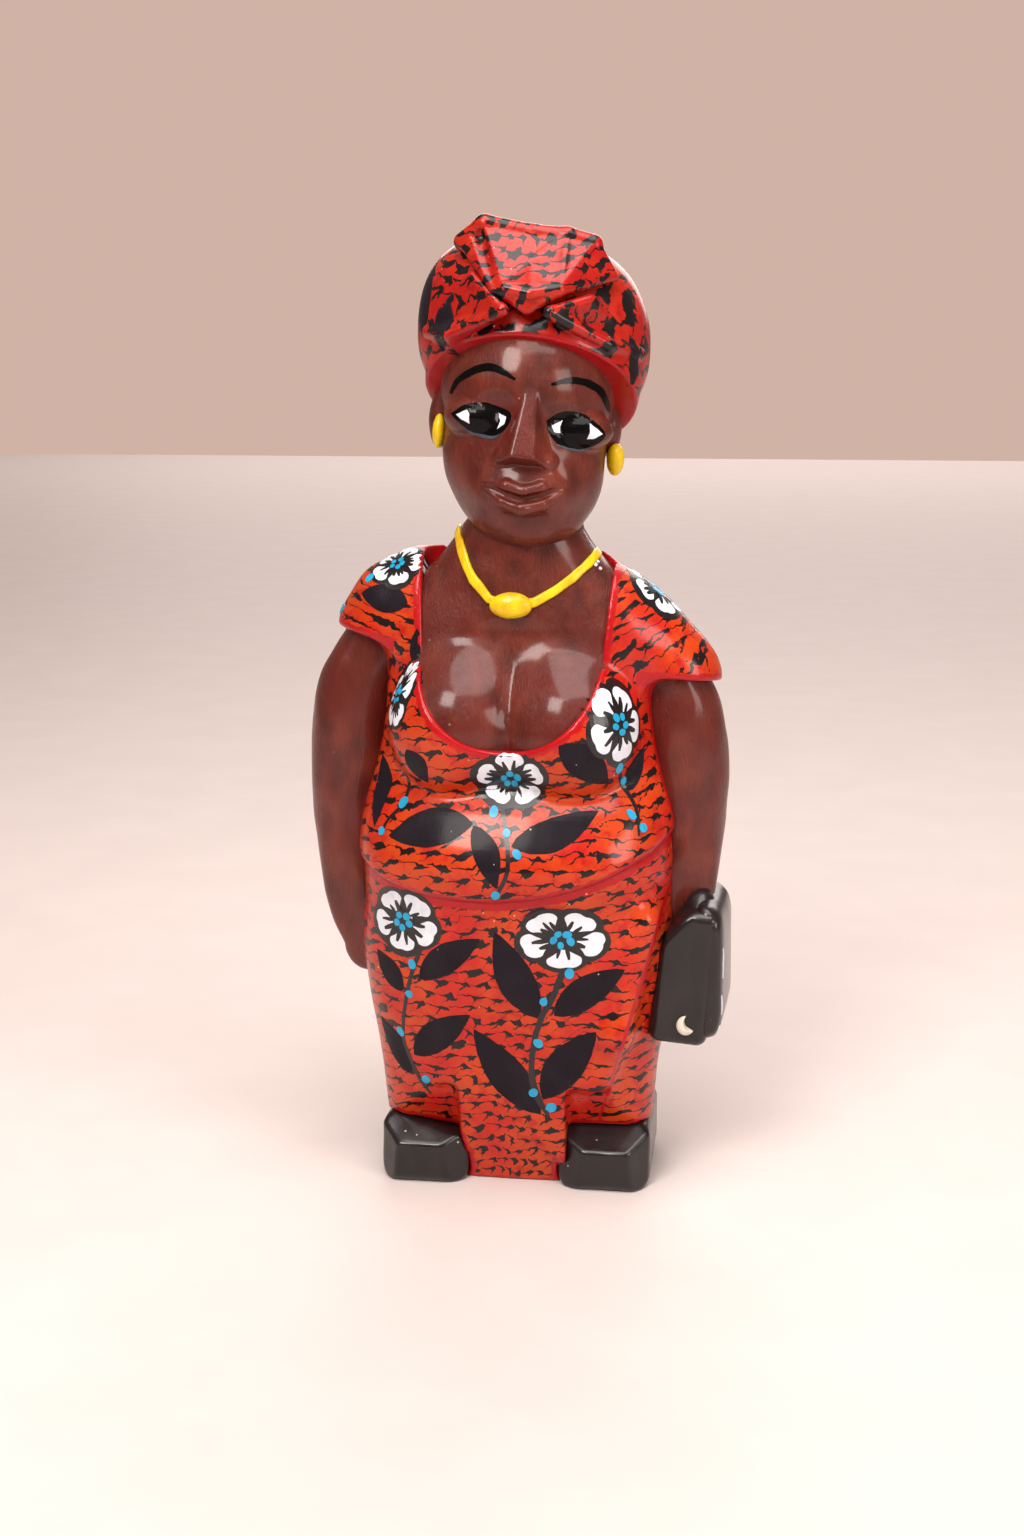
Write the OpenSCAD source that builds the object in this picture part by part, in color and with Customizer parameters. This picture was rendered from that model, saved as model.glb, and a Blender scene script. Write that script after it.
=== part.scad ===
// Carved and painted wooden figure of a standing woman in a printed dress, with a
// knotted headwrap and a handbag on her left arm. The figure faces -Y and stands
// on Z = 0. Left and right are the figure's own: her left side is +X.

/* [Figure] */
// Height from the soles to the top of the headwrap knot
figure_h = 220; // [150:1:300]
// Width of the dress across the hips
hip_w = 74; // [68:1:78]
// How far the belly stands out in front of the spine line
belly_out = 29; // [26:0.5:31]
// How far the seat stands out behind the spine line
seat_out = 26; // [22:0.5:29]
// How far the dress stands proud of the bare chest at the neckline
dress_step = 0.8; // [0.4:0.1:1.5]
// How far the belly hangs proud of the skirt at the fold
fold_step = 0.8; // [0.4:0.1:1.5]

/* [Neckline and bust] */
// Lowest point of the scooped neckline in front
neckline_h = 105; // [100:1:112]
// Half the width of the neckline opening
neckline_r = 20; // [17:0.5:22]
// Radius of each side of the bust
bust_r = 16; // [14:0.5:17]

/* [Head] */
// Width of the face
face_w = 38.4; // [35:0.2:41]
// Lean of the head towards the figure's left, in degrees
head_lean = 3; // [0:0.5:7]
// Turn of the head towards the figure's left, in degrees
head_turn = 7; // [0:0.5:12]
// Width of the headwrap crown
crown_w = 51; // [47:0.5:54]

/* [Arms, bag and shoes] */
// Thickness of the upper arms
arm_t = 20; // [18:0.5:21]
// Height of the handbag
bag_h = 35; // [31:1:36]
// Length of each shoe
shoe_l = 36; // [34:1:40]
// Width of each shoe
shoe_w = 20.5; // [19:0.5:22]

/* [Hidden] */

design_h = 220;         // every height below is for a figure this tall
side_right = -1;
side_left = 1;
around = 40;            // points round a lofted section
layer = 3.5;            // height between lofted sections
far = 60;               // past the figure in every direction
facets = 20;            // of the larger rounded parts
small_facets = 12;      // of beads, cords and jewellery
box_centre = [-0.31, -0.61]; // middle of the finished figure's outline, moved to the origin

skin = [0.30, 0.10, 0.07];
dress = [0.78, 0.09, 0.05];
black = [0.06, 0.05, 0.06];
yellow = [0.95, 0.75, 0.02];
cream = [0.90, 0.86, 0.72];

// Dress and trunk: height, half width, depth in front, depth behind
trunk_sections = [
    [0,   29.5,            10.5,            15],
    [14,  31.5,            15,              18],
    [28,  32.8,            18.5,            21],
    [44,  hip_w / 2 - 1.6, 22,              seat_out - 2],
    [58,  hip_w / 2,       24.5,            seat_out],
    [68,  hip_w / 2,       26,              seat_out - 1],
    [80,  hip_w / 2,       belly_out,       seat_out - 3.5],
    [90,  hip_w / 2 - 1.5, belly_out - 4,   20],
    [97,  33.5,            21,              18.2],
    [108, 31,              19,              17.5],
    [121, 30.5,            16.5,            18],
    [131, 31,              14.5,            17.5],
    [139, 27,              12.5,            15],
    [146, 19,              11.5,            12.5],
    [152, 13,              11,              11]];

// ---- Curves and lofts ----

function span(z, s, i = 0) = i >= len(s) - 2 || z <= s[i + 1][0] ? i : span(z, s, i + 1);

function slope(s, i, c) =
    let (a = max(i - 1, 0), b = min(i + 1, len(s) - 1))
    (s[b][c] - s[a][c]) / (s[b][0] - s[a][0]);

// Column c of the section list at height z, on a smooth curve through its rows
function smooth(z, s, c) =
    let (i = span(z, s), h = s[i + 1][0] - s[i][0], t = (z - s[i][0]) / h)
    (2 * t ^ 3 - 3 * t ^ 2 + 1) * s[i][c] + (t ^ 3 - 2 * t ^ 2 + t) * h * slope(s, i, c)
    + (3 * t ^ 2 - 2 * t ^ 3) * s[i + 1][c] + (t ^ 3 - t ^ 2) * h * slope(s, i + 1, c);

// A squarish oval at height z, with its own depth in front and behind
function ring(z, half_w, front, back, squareness = 2.35) =
    [for (i = [0 : around - 1])
        let (c = cos(360 * i / around), s = sin(360 * i / around))
        [half_w * sign(c) * abs(c) ^ (2 / squareness),
         (s < 0 ? front : back) * sign(s) * abs(s) ^ (2 / squareness), z]];

module loft(rings) {
    last = len(rings) - 1;
    points = [for (r = rings) each r];
    sides = [for (j = [0 : last - 1], i = [0 : around - 1])
        let (n = (i + 1) % around)
        [j * around + i, (j + 1) * around + i, (j + 1) * around + n, j * around + n]];
    bottom = [for (i = [0 : around - 1]) i];
    top = [for (i = [around - 1 : -1 : 0]) last * around + i];
    polyhedron(points, concat([bottom, top], sides));
}

// Round beads [x, y, z, radius], each joined to the next
module bead_chain(beads, fn = facets) {
    for (i = [0 : len(beads) - 2])
        hull() {
            bead(beads[i], fn);
            bead(beads[i + 1], fn);
        }
}

module bead(b, fn = facets) {
    translate([b[0], b[1], b[2]]) sphere(b[3], $fn = fn);
}

module egg(centre, radii, fn = 32) {
    translate(centre) scale(radii) sphere(1, $fn = fn);
}

// A plate across the whole depth, from y0 to y1, whose outline is drawn in X and Z
module plate(y0, y1) {
    translate([0, y1, 0]) rotate([90, 0, 0]) linear_extrude(y1 - y0) children();
}

// ---- Whole forms, which the nodes are cut from ----

module trunk_form(inset = 0) {
    top = trunk_sections[len(trunk_sections) - 1][0];
    loft([for (z = [0 : layer : top - layer / 2])
        ring(z, smooth(z, trunk_sections, 1) - inset,
             smooth(z, trunk_sections, 2) - inset, smooth(z, trunk_sections, 3) - inset)]);
}

module breast_form(side, inset = 0) {
    egg([side * 13.5, -12, 107.5], [bust_r - inset, 15.5 - inset, 15 - inset]);
}

module neck_form() {
    hull() {
        translate([0.6, 0, 138]) scale([14, 11.5, 1]) cylinder(h = 1, r = 1, $fn = around);
        translate([0.8, 0, 158]) scale([11.8, 10.6, 1]) cylinder(h = 1, r = 1, $fn = around);
    }
}

// Everything under the low curve where the belly hangs over the skirt
module below_belly() {
    reach = hip_w / 2 + 4;
    plate(-far, far)
        polygon(concat([[reach, -5], [-reach, -5]],
            [for (x = [-reach : 4 : reach]) [x, 71.5 + 3.4 * x / 35 + 8.8 * (x / 35) ^ 2]]));
}

module neck_opening() {
    mid_h = neckline_h + 21;
    plate(-far, 3)
        polygon(concat([[neckline_r, 160], [-neckline_r + 1, 160]],
            [for (t = [180 : 12 : 360]) [neckline_r * cos(t), mid_h + 21 * sin(t)]]));
    plate(3, far)
        polygon(concat([[neckline_r - 2, 160], [-neckline_r + 2, 160]],
            [for (t = [180 : 18 : 360]) [(neckline_r - 2) * cos(t), 149 + 9 * sin(t)]]));
}

module arm_form(side) {
    r = arm_t / 2;
    drop = side == side_left ? 4 : 0;
    out = side == side_left ? -1.5 : 0.9;
    bead_chain([
        [side * (31 + out),   1,  129 - drop, r - 0.8],
        [side * (36.5 + out), 1,  120 - drop, r - 0.4],
        [side * (38.8 + out), 1,  108,        r + 0.2],
        [side * (39.3 + out), 0,  95,         r],
        [side * (38.9 + out), -1, 82,         r - 0.3],
        [side * (38 + out),   -3, 70,         r - 1.2],
        [side * (37.2 + out), -5, 60,         r - 2.6],
        [side * (36 + out),   -6, 54,         r - 4]]);
}

// The left shoulder hangs lower than the right
module sleeve_form(side) {
    beads = side == side_left
        ? [[13, 1.5, 136.6, 10], [21, 1.5, 132.1, 10], [26.3, 1.2, 128, 10.2],
           [31.3, 1, 122.9, 10.2], [34.9, 1, 119, 10.2], [35.3, 1, 114, 10.2]]
        : [[-15, 1.5, 138.5, 9.5], [-22, 1.5, 137, 10.2], [-28.3, 1.2, 133.5, 10.8],
           [-31, 1, 128.5, 11], [-31.7, 1, 120, 11]];
    hem = side == side_left ? 118.7 : 127.5;
    difference() {
        bead_chain(beads);
        translate([-far, -far, hem - far]) cube([2 * far, 2 * far, far]);
    }
}

// Leans and turns the head and everything on it about the top of the neck
module head_pose() {
    translate([0.5, 0, 150]) rotate([0, head_lean, head_turn]) translate([0, 0, -150]) children();
}

module face_form() {
    hull() {
        egg([-0.6, 1, 182], [face_w / 2 + 0.2, 20, 20.5]);
        egg([0.2, -3, 166], [face_w / 2 - 1.6, 15.8, 15.5]);
        egg([0.6, -9.5, 157.5], [9.5, 9.8, 8.6]);
    }
    for (side = [side_right, side_left])
        egg([side * (face_w / 2 - 0.4) - 0.8, 2.5, 175], [2.6, 3.8, 6.5], 16);
}

module nose_and_lips() {
    hull() {
        egg([0.2, -18, 182], [1.3, 1.5, 2], 12);
        egg([-0.9, -21.8, 169], [2, 2.2, 2], 14);
        for (side = [side_right, side_left]) egg([side * 4 - 0.5, -18.3, 168], [2, 2.2, 1.9], 14);
    }
    egg([-0.4, -18.4, 162], [8, 2.8, 1.6], 20);
    egg([-0.2, -18.6, 158.8], [7, 3, 1.9], 20);
}

// The part of space above the tilted edge of the headwrap; lift moves the edge up
module above_wrap_edge(lift = 0) {
    translate([0, 0, 181 + lift]) rotate([-37, 0, 0])
        translate([-far, -far, 0]) cube([2 * far, 2 * far, far]);
}

module band_form() {
    intersection() {
        egg([0.4, 1.5, 185.4], [24.4, 22.6, 24.2]);
        above_wrap_edge();
    }
}

module crown_form() egg([0.1, 7, 194], [crown_w / 2 + 0.6, 20.5, 23]);

// Folds that fan up from the pinch over the forehead and fall back over the crown
module knot_form() {
    pinch = [[-6, -18, 200.5, 3], [-1.5, -18.8, 200, 3.4], [3, -18, 200.5, 3]];
    crest = [[-14.5, -5, 212.5, 3], [-11.5, -6.5, 216.55, 3], [-5, -5.5, 214.8, 3],
             [0.5, -7, 214.4, 3], [6, -5.5, 214, 3], [10.5, -6, 212.8, 3]];
    core = [-1.5, 0, 204, 6];
    for (i = [0 : len(crest) - 2]) {
        ridge = [crest[i], crest[i + 1]];
        hull() for (b = concat([pinch[round(i / 2)], core], ridge)) bead(b, 14);
        hull() for (b = concat([core], ridge, [for (r = ridge) [r[0] * 0.7 - 0.6, 8, r[2] - 6, 4]]))
            bead(b, 14);
    }
}

module wrap_form() {
    band_form();
    crown_form();
    knot_form();
}

module shoe_form(side) {
    x = side * 21;
    corner = 5;
    hull() {
        for (dx = [-1, 1]) {
            translate([x + dx * (shoe_w / 2 - corner), 20 - corner, 0])
                cylinder(h = 13, r = corner, $fn = facets);
            translate([x + dx * (shoe_w / 2 - corner - 0.5), 20 - shoe_l + corner, 0])
                cylinder(h = 7.5, r = corner, $fn = facets);
            translate([x + dx * (shoe_w / 2 - corner), -6, 0])
                cylinder(h = 14, r = corner, $fn = facets);
        }
        egg([x, 20 - shoe_l + 6, 6], [shoe_w / 2 - 1.5, 7, 4.5]);
    }
}

module bag_form() {
    hull()
        for (p = [[34.8, -13, 38.6], [34.8, 8, 38.6], [44, -13, 38.5], [44, 8, 38.5],
                  [38.5, -12, 39 + bag_h - 11], [38.5, 7, 39 + bag_h - 11],
                  [43.5, -12, 39 + bag_h - 10], [43.5, 7, 39 + bag_h - 10]])
            bead([p[0], p[1], p[2], 2.5], 16);
}

module flap_form() {
    hull()
        for (p = [[45, -11, 42], [45, 6, 42], [47.2, -9, 50], [47.2, 4, 50],
                  [46.8, -9, 58], [46.8, 4, 58], [44.5, -8, 64.5], [44.5, 3, 64.5]])
            bead([p[0], p[1], p[2], 2.3], 16);
}

module strap_form() {
    for (y = [-9, 4])
        bead_chain([[42.5, y, 60, 2.3], [42.8, y * 0.9, 64, 2.1], [42, y * 0.6, 67.5, 2],
                    [40.5, y * 0.2 - 0.5, 69.5, 2]], small_facets);
}

// Line that the necklace follows on the chest: x and height
necklace_line =
    [[-13.6, 152], [-12.4, 148.6], [-10.6, 144.8], [-8.2, 140.6], [-5, 137.2], [-0.3, 136],
     [5, 137], [9.4, 139.4], [13, 142.3], [16, 145.4], [18, 148]];

// How far in front of the spine line the bare chest stands, for the necklace
function chest_y(x, z) =
    -(smooth(z, trunk_sections, 2) - dress_step)
    * max(0, 1 - (abs(x) / smooth(z, trunk_sections, 1)) ^ 2.35) ^ (1 / 2.35);

module necklace_form()
    bead_chain([for (p = necklace_line) [p[0], chest_y(p[0], p[1]), p[1], 1.3]], small_facets);

// ---- Nodes ----

module finished() {
    scale(figure_h / design_h) translate([-box_centre[0], -box_centre[1], 0]) children();
}

module skirt() color(dress) finished()
    difference() {
        intersection() {
            trunk_form(fold_step);
            below_belly();
        }
        for (side = [side_right, side_left]) {
            shoe_form(side);
            arm_form(side);
        }
        bag_form();
    }

module bodice() color(dress) finished()
    difference() {
        union() {
            trunk_form();
            hull() for (side = [side_right, side_left]) breast_form(side);
        }
        below_belly();
        neck_opening();
        neck_form();
        for (side = [side_right, side_left]) {
            arm_form(side);
            sleeve_form(side);
        }
    }

module chest() color(skin) finished()
    difference() {
        union() {
            difference() {
                intersection() {
                    union() {
                        trunk_form(dress_step);
                        for (side = [side_right, side_left]) breast_form(side, dress_step);
                    }
                    neck_opening();
                }
                for (side = [side_right, side_left]) sleeve_form(side);
            }
            neck_form();
        }
        head_pose() face_form();
    }

module head() color(skin) finished() head_pose()
    difference() {
        union() {
            face_form();
            nose_and_lips();
        }
        wrap_form();
    }

module wrap_band() color(dress) finished() head_pose()
    difference() {
        band_form();
        crown_form();
        knot_form();
    }

module wrap_crown() color(dress) finished() head_pose()
    difference() {
        crown_form();
        knot_form();
    }

module wrap_knot() color(dress) finished() head_pose() knot_form();

module sleeve(side) color(dress) finished()
    difference() {
        sleeve_form(side);
        neck_form();
    }

module arm(side) color(skin) finished()
    difference() {
        arm_form(side);
        sleeve_form(side);
        if (side == side_left) {
            bag_form();
            strap_form();
            flap_form();
        }
    }

module shoe(side) color(black) finished() shoe_form(side);

module earring(centre, radii) color(yellow) finished() head_pose()
    difference() {
        egg(centre, radii, 16);
        face_form();
        wrap_form();
    }

module necklace() color(yellow) finished()
    difference() {
        necklace_form();
        trunk_form(dress_step);
        neck_form();
        head_pose() face_form();
    }

module pendant() color(yellow) finished()
    difference() {
        egg([-0.3, chest_y(0, 136) - 0.2, 136], [4.6, 2.2, 2.7], 20);
        necklace_form();
        trunk_form(dress_step);
    }

module choker() color(yellow) finished()
    difference() {
        bead_chain([for (t = [0 : 24 : 360]) [0.8 + 12.2 * cos(t), 10.9 * sin(t), 150.5, 1.1]],
                   small_facets);
        neck_form();
        head_pose() face_form();
    }

module handbag() color(black) finished() bag_form();

module handbag_flap() color(black) finished()
    difference() {
        flap_form();
        bag_form();
    }

module handbag_strap() color(black) finished()
    difference() {
        strap_form();
        bag_form();
        flap_form();
    }

module handbag_clasp() color(cream) finished()
    difference() {
        egg([40.5, -15.2, 42], [2.2, 1.4, 1.9], 16);
        bag_form();
        flap_form();
    }

skirt();
bodice();
chest();
head();
wrap_band();
wrap_crown();
wrap_knot();
sleeve(side_right);  // right_sleeve
sleeve(side_left);  // left_sleeve
arm(side_right);  // right_arm
arm(side_left);  // left_arm
shoe(side_right);  // right_shoe
shoe(side_left);  // left_shoe
earring([-20.2, -1, 172.5], [1.9, 2.6, 4.4]);  // right_earring
earring([19.4, -1, 168.4], [2.4, 2.8, 4]);  // left_earring
necklace();
pendant();
choker();
handbag();
handbag_flap();
handbag_strap();
handbag_clasp();
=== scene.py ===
import math
import random

import bpy
import numpy as np
from mathutils import Euler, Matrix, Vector, geometry


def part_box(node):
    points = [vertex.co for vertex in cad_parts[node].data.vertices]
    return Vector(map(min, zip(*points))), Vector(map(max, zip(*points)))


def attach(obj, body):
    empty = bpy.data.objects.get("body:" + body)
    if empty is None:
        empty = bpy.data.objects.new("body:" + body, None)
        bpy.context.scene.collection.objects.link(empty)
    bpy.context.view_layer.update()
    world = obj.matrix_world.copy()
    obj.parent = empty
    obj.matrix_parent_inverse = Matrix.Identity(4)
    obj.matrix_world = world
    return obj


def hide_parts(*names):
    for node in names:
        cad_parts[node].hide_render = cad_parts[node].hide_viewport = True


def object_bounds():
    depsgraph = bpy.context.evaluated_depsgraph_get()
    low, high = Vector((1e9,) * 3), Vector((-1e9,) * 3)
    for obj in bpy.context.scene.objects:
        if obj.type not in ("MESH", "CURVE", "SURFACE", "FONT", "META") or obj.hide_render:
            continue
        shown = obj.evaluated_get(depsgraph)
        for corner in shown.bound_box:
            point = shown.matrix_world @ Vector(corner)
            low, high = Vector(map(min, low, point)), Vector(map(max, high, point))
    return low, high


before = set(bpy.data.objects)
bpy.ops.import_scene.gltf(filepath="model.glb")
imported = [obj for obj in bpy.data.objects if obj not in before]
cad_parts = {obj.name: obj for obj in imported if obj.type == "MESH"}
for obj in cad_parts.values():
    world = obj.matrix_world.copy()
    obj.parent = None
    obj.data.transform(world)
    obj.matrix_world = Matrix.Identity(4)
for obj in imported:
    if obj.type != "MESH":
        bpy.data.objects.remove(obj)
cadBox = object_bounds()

# Lengths are in millimetres while a shape is being carved, in the figure's own frame:
# X towards her left side, -Y in front of her, Z up from the soles. The shoes fix that frame.
rightShoeBox = [corner * 1000 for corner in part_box("right_shoe")]
leftShoeBox = [corner * 1000 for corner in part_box("left_shoe")]
figureTall = cadBox[1].z * 1000
grow = figureTall / 220
midX = (rightShoeBox[0].x + leftShoeBox[1].x) / 2
midY = leftShoeBox[1].y - 20 * grow


def nodeBox(node):
    # A CAD node's box in the carving's own millimetres
    low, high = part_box(node)
    shift = Vector((midX, midY, 0))
    return (low * 1000 - shift) / grow, (high * 1000 - shift) / grow


def toMetres(points):
    out = np.asarray(points, float) * grow
    out[:, 0] += midX
    out[:, 1] += midY
    return out / 1000


# ---- Carving fields: distance in mm, negative inside the wood ----

def curveOf(rows, column):
    # A smooth curve through one column of rows, sampled finely, as a function of height
    knots = np.array([r[0] for r in rows], float)
    values = np.array([r[column] for r in rows], float)
    slopes = np.gradient(values, knots)
    fine = np.linspace(knots[0], knots[-1], 400)
    i = np.clip(np.searchsorted(knots, fine) - 1, 0, len(knots) - 2)
    h = knots[i + 1] - knots[i]
    t = (fine - knots[i]) / h
    heights = ((2 * t ** 3 - 3 * t ** 2 + 1) * values[i] + (t ** 3 - 2 * t ** 2 + t) * h * slopes[i]
               + (3 * t ** 2 - 2 * t ** 3) * values[i + 1] + (t ** 3 - t ** 2) * h * slopes[i + 1])
    return lambda z: np.interp(z, fine, heights).astype(np.float32)


def ball(p, centre, radii):
    a = [(p[i] - centre[i]) / radii[i] for i in range(3)]
    b = [a[i] / radii[i] for i in range(3)]
    near = np.sqrt(a[0] ** 2 + a[1] ** 2 + a[2] ** 2)
    far = np.sqrt(b[0] ** 2 + b[1] ** 2 + b[2] ** 2) + 1e-6
    return near * (near - 1) / far


def rod(p, a, b):
    # Round bar between beads (x, y, z, radius)
    d = [b[i] - a[i] for i in range(3)]
    length = d[0] ** 2 + d[1] ** 2 + d[2] ** 2 + 1e-9
    t = np.clip(sum((p[i] - a[i]) * d[i] for i in range(3)) / length, 0, 1)
    gap = sum((p[i] - a[i] - t * d[i]) ** 2 for i in range(3))
    return np.sqrt(gap) - (a[3] + t * (b[3] - a[3]))


def join(a, b, soft=0.0):
    if soft <= 0:
        return np.minimum(a, b)
    h = np.maximum(soft - np.abs(a - b), 0) / soft
    return np.minimum(a, b) - h * h * soft / 4


def common(a, b, soft=0.0):
    return -join(-a, -b, soft)


def cut(a, b, soft=0.0):
    return common(a, -b, soft)


def chain(p, beads, soft=0.0):
    out = rod(p, beads[0], beads[1])
    for a, b in zip(beads[1:-1], beads[2:]):
        out = join(out, rod(p, a, b), soft)
    return out


def plane(p, point, normal):
    n = Vector(normal).normalized()
    return sum((p[i] - point[i]) * n[i] for i in range(3))


def bar(p, centre, half, rounding, turn=(0, 0, 0)):
    # Rounded block, turned by degrees about X, Y, Z
    q = turned(p, centre, turn)
    g = [np.abs(q[i]) - (half[i] - rounding) for i in range(3)]
    outside = np.sqrt(sum(np.maximum(v, 0) ** 2 for v in g))
    return outside + np.minimum(np.maximum(np.maximum(g[0], g[1]), g[2]), 0) - rounding


def turned(p, centre, turn):
    # p seen from a frame at centre that is turned by degrees about X, then Y, then Z
    m = Euler([math.radians(v) for v in turn]).to_matrix().transposed()
    d = [p[i] - centre[i] for i in range(3)]
    return [m[i][0] * d[0] + m[i][1] * d[1] + m[i][2] * d[2] for i in range(3)]


def lattice(seed):
    return np.random.default_rng(seed).random((32, 32, 32)).astype(np.float32) * 2 - 1


def lumps(p, size, seed):
    # Smooth random swelling between -1 and 1, one lump about every size mm
    table = lattice(seed)
    cell, blend = [], []
    for v in p:
        q = v / size + 100
        whole = np.floor(q)
        f = q - whole
        cell.append(whole.astype(np.int32))
        blend.append(f * f * (3 - 2 * f))
    out = 0
    for i in (0, 1):
        for j in (0, 1):
            for k in (0, 1):
                w = ((blend[0] if i else 1 - blend[0]) * (blend[1] if j else 1 - blend[1])
                     * (blend[2] if k else 1 - blend[2]))
                out = out + w * table[(cell[0] + i) % 32, (cell[1] + j) % 32, (cell[2] + k) % 32]
    return out


# ---- The figure's forms ----

trunkRows = [  # height, half width, depth in front, depth behind
    (0, 29.5, 10.5, 15), (14, 31.5, 15, 18), (28, 32.8, 18.5, 21), (44, 35.4, 22, 24),
    (58, 37, 24.5, 26), (68, 37, 26, 25), (80, 37, 28.6, 22.5), (90, 35.5, 24.2, 20),
    (97, 33.5, 19.4, 18.2), (108, 31, 19, 17.5), (121, 30.5, 16.5, 18), (131, 31, 14.5, 17.5),
    (139, 27, 12.5, 15), (146, 19, 11.5, 12.5), (152, 13, 11, 11)]
trunkHalf, trunkFront, trunkBack = [curveOf(trunkRows, c) for c in (1, 2, 3)]


def trunk(p, squareness=2.6):
    x, y, z = p
    half, front, back = trunkHalf(z), trunkFront(z), trunkBack(z)
    depth = np.where(y < 0, front, back)
    ring = (np.abs(x / half) ** squareness + np.abs(y / depth) ** squareness) ** (1 / squareness)
    side = np.sqrt(x * x + y * y) * (1 - 1 / np.maximum(ring, 1e-3))
    return common(common(side, z - 152, 2), -z)


def bust(p, soft):
    right = ball(p, (-12.3, -11, 108.5), (16.3, 15.3, 17.5))
    left = ball(p, (11.9, -11, 107.8), (16.3, 15.3, 17.5))
    return join(right, left, soft)


def neck(p):
    low, high = 136, 160
    x, y, z = p
    t = np.clip((z - low) / (high - low), 0, 1)
    around = np.sqrt(((x - 0.7) / (13.6 - 2.4 * t)) ** 2 + (y / (11.6 - t)) ** 2)
    return common(common((around - 1) * 11.5, z - high), low - z)


sleeveRows = {  # beads over each shoulder: x, y, z, radius; the left one hangs lower
    -1: [(-14, 1.5, 138, 9), (-22, 1.5, 136.9, 10), (-28.2, 1.6, 133.3, 10.6), (-30.9, 2, 128, 10.8),
         (-31.6, 2.4, 119, 10.8)],
    1: [(13, 1.5, 136.4, 9.8), (21, 1.5, 132, 9.9), (26.3, 1.6, 127.8, 10.1), (31.2, 2, 122.7, 10.1),
        (34.7, 2.2, 118.6, 10.1), (35.2, 2.4, 112, 10.1)]}


def sleeve(p, side):
    return chain(p, sleeveRows[side], 3)


def aboveHem(p, side):
    # Positive above the sleeve's hem, negative below it
    if side < 0:
        return plane(p, (-36, 0, 127.6), (0.3, 0.1, 1))
    return plane(p, (38, 0, 118.4), (0.02, 0.1, 1))


armRows = {  # beads down each arm: x, y, z, radius
    -1: [(-31.5, 2, 128, 9.2), (-37, 2.5, 119, 9.4), (-39.4, 3, 108, 9.9), (-40.1, 3.2, 95, 9.8),
         (-39.7, 3, 82, 9.3), (-38.7, 1, 70, 8.5), (-37, -2, 60, 7.4), (-35.6, -3.5, 54, 6)],
    1: [(30, 2, 124, 9.2), (34.9, 2.5, 116, 9.4), (37.1, 3, 106, 9.9), (38, 3.2, 95, 9.8),
        (37.6, 3, 83, 9.4), (37.6, 1, 75, 8.4), (38.4, -1, 68, 6.6), (38.8, -2, 62, 5)]}


def arm(p, side):
    # Round section that follows a smooth line down the arm, closed by a ball at each end
    rows = sorted(armRows[side], key=lambda row: row[2])
    byHeight = [(row[2], row[0], row[1], row[3]) for row in rows]
    low, high = rows[0][2], rows[-1][2]
    z = np.clip(p[2], low, high)
    cx, cy, r = [curveOf(byHeight, c)(z) for c in (1, 2, 3)]
    return np.sqrt((p[0] - cx) ** 2 + (p[1] - cy) ** 2 + (p[2] - z) ** 2) - r


def foldHeight(x):
    # Height of the fold where the belly hangs over the skirt
    t = x / 35
    return 71.5 + 3.4 * t + 8.8 * t * t


def neckOpening(p):
    # The scoop in the dress over the chest, and the shallow one at the nape
    x, y, z = p
    low, wide = 105, 20.2
    centreX = -0.3 + 0.02 * (z - 126)
    across = (x - centreX) / (wide + 0.07 * np.maximum(z - 126, 0))
    down = np.minimum(z - 126, 0) / (126 - low)
    front = (np.sqrt(across ** 2 + down ** 2) - 1) * 19
    nape = (np.sqrt((x / 18.5) ** 2 + (np.minimum(z - 149.5, 0) / 9) ** 2) - 1) * 9
    blend = np.clip((y + 1) / 6, 0, 1)
    return front * (1 - blend) + nape * blend


def dressForm(p):
    sleeves = join(common(sleeve(p, -1), -aboveHem(p, -1), 0.9), common(sleeve(p, 1), -aboveHem(p, 1), 0.9))
    body = join(trunk(p), bust(p, 9), 1.8)
    return join(body, sleeves, 5)


def bodiceField(p):
    x, y, z = p
    out = dressForm(p) + 0.16 * lumps(p, 7, 3)
    out = common(out, foldHeight(x) - z, 2.4)
    return cut(out, neckOpening(p), 0.7)


def skirtField(p):
    x, y, z = p
    out = trunk(p) + 1.1 * np.clip((z - 52) / 16, 0, 1) + 0.16 * lumps(p, 7, 3)
    ridge = chain(p, [(30, -17, 66, 3), (24, -19, 40, 3), (17.5, -16, 22, 3), (14.5, -12.5, 8, 3)], 4)
    out = join(out, ridge, 5)
    # the front panel runs down between the shoes, and the hem lifts over each of them
    instep = plane(p, (0, -9.4, 14.4), (0, -0.86, -0.5))
    for side in (-1, 1):
        hollow = common(-instep, 12.5 - side * x, 2)
        out = cut(out, common(hollow, z - 26, 3), 1.5)
        out = cut(out, shoe(p, side) - 0.2, 0.4)
    return common(out, z - foldHeight(x) - 1.5, 1)


def bareForm(p):
    # The body under the dress: chest, bust and neck
    out = join(trunk(p), bust(p, 0.5), 7) + 1.2
    cleft = chain(p, [(-0.8, -26, 103.5, 2.2), (-0.6, -24.4, 109, 1.3), (-0.9, -20.6, 116, 0.8),
                      (-1.2, -17.4, 121.5, 0.3)], 1)
    out = cut(join(out, neck(p), 8), cleft, 1.5)
    return out + 0.14 * lumps(p, 6, 4)


def chestField(p):
    return common(bareForm(p), neckOpening(p) - 2.5)


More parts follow.
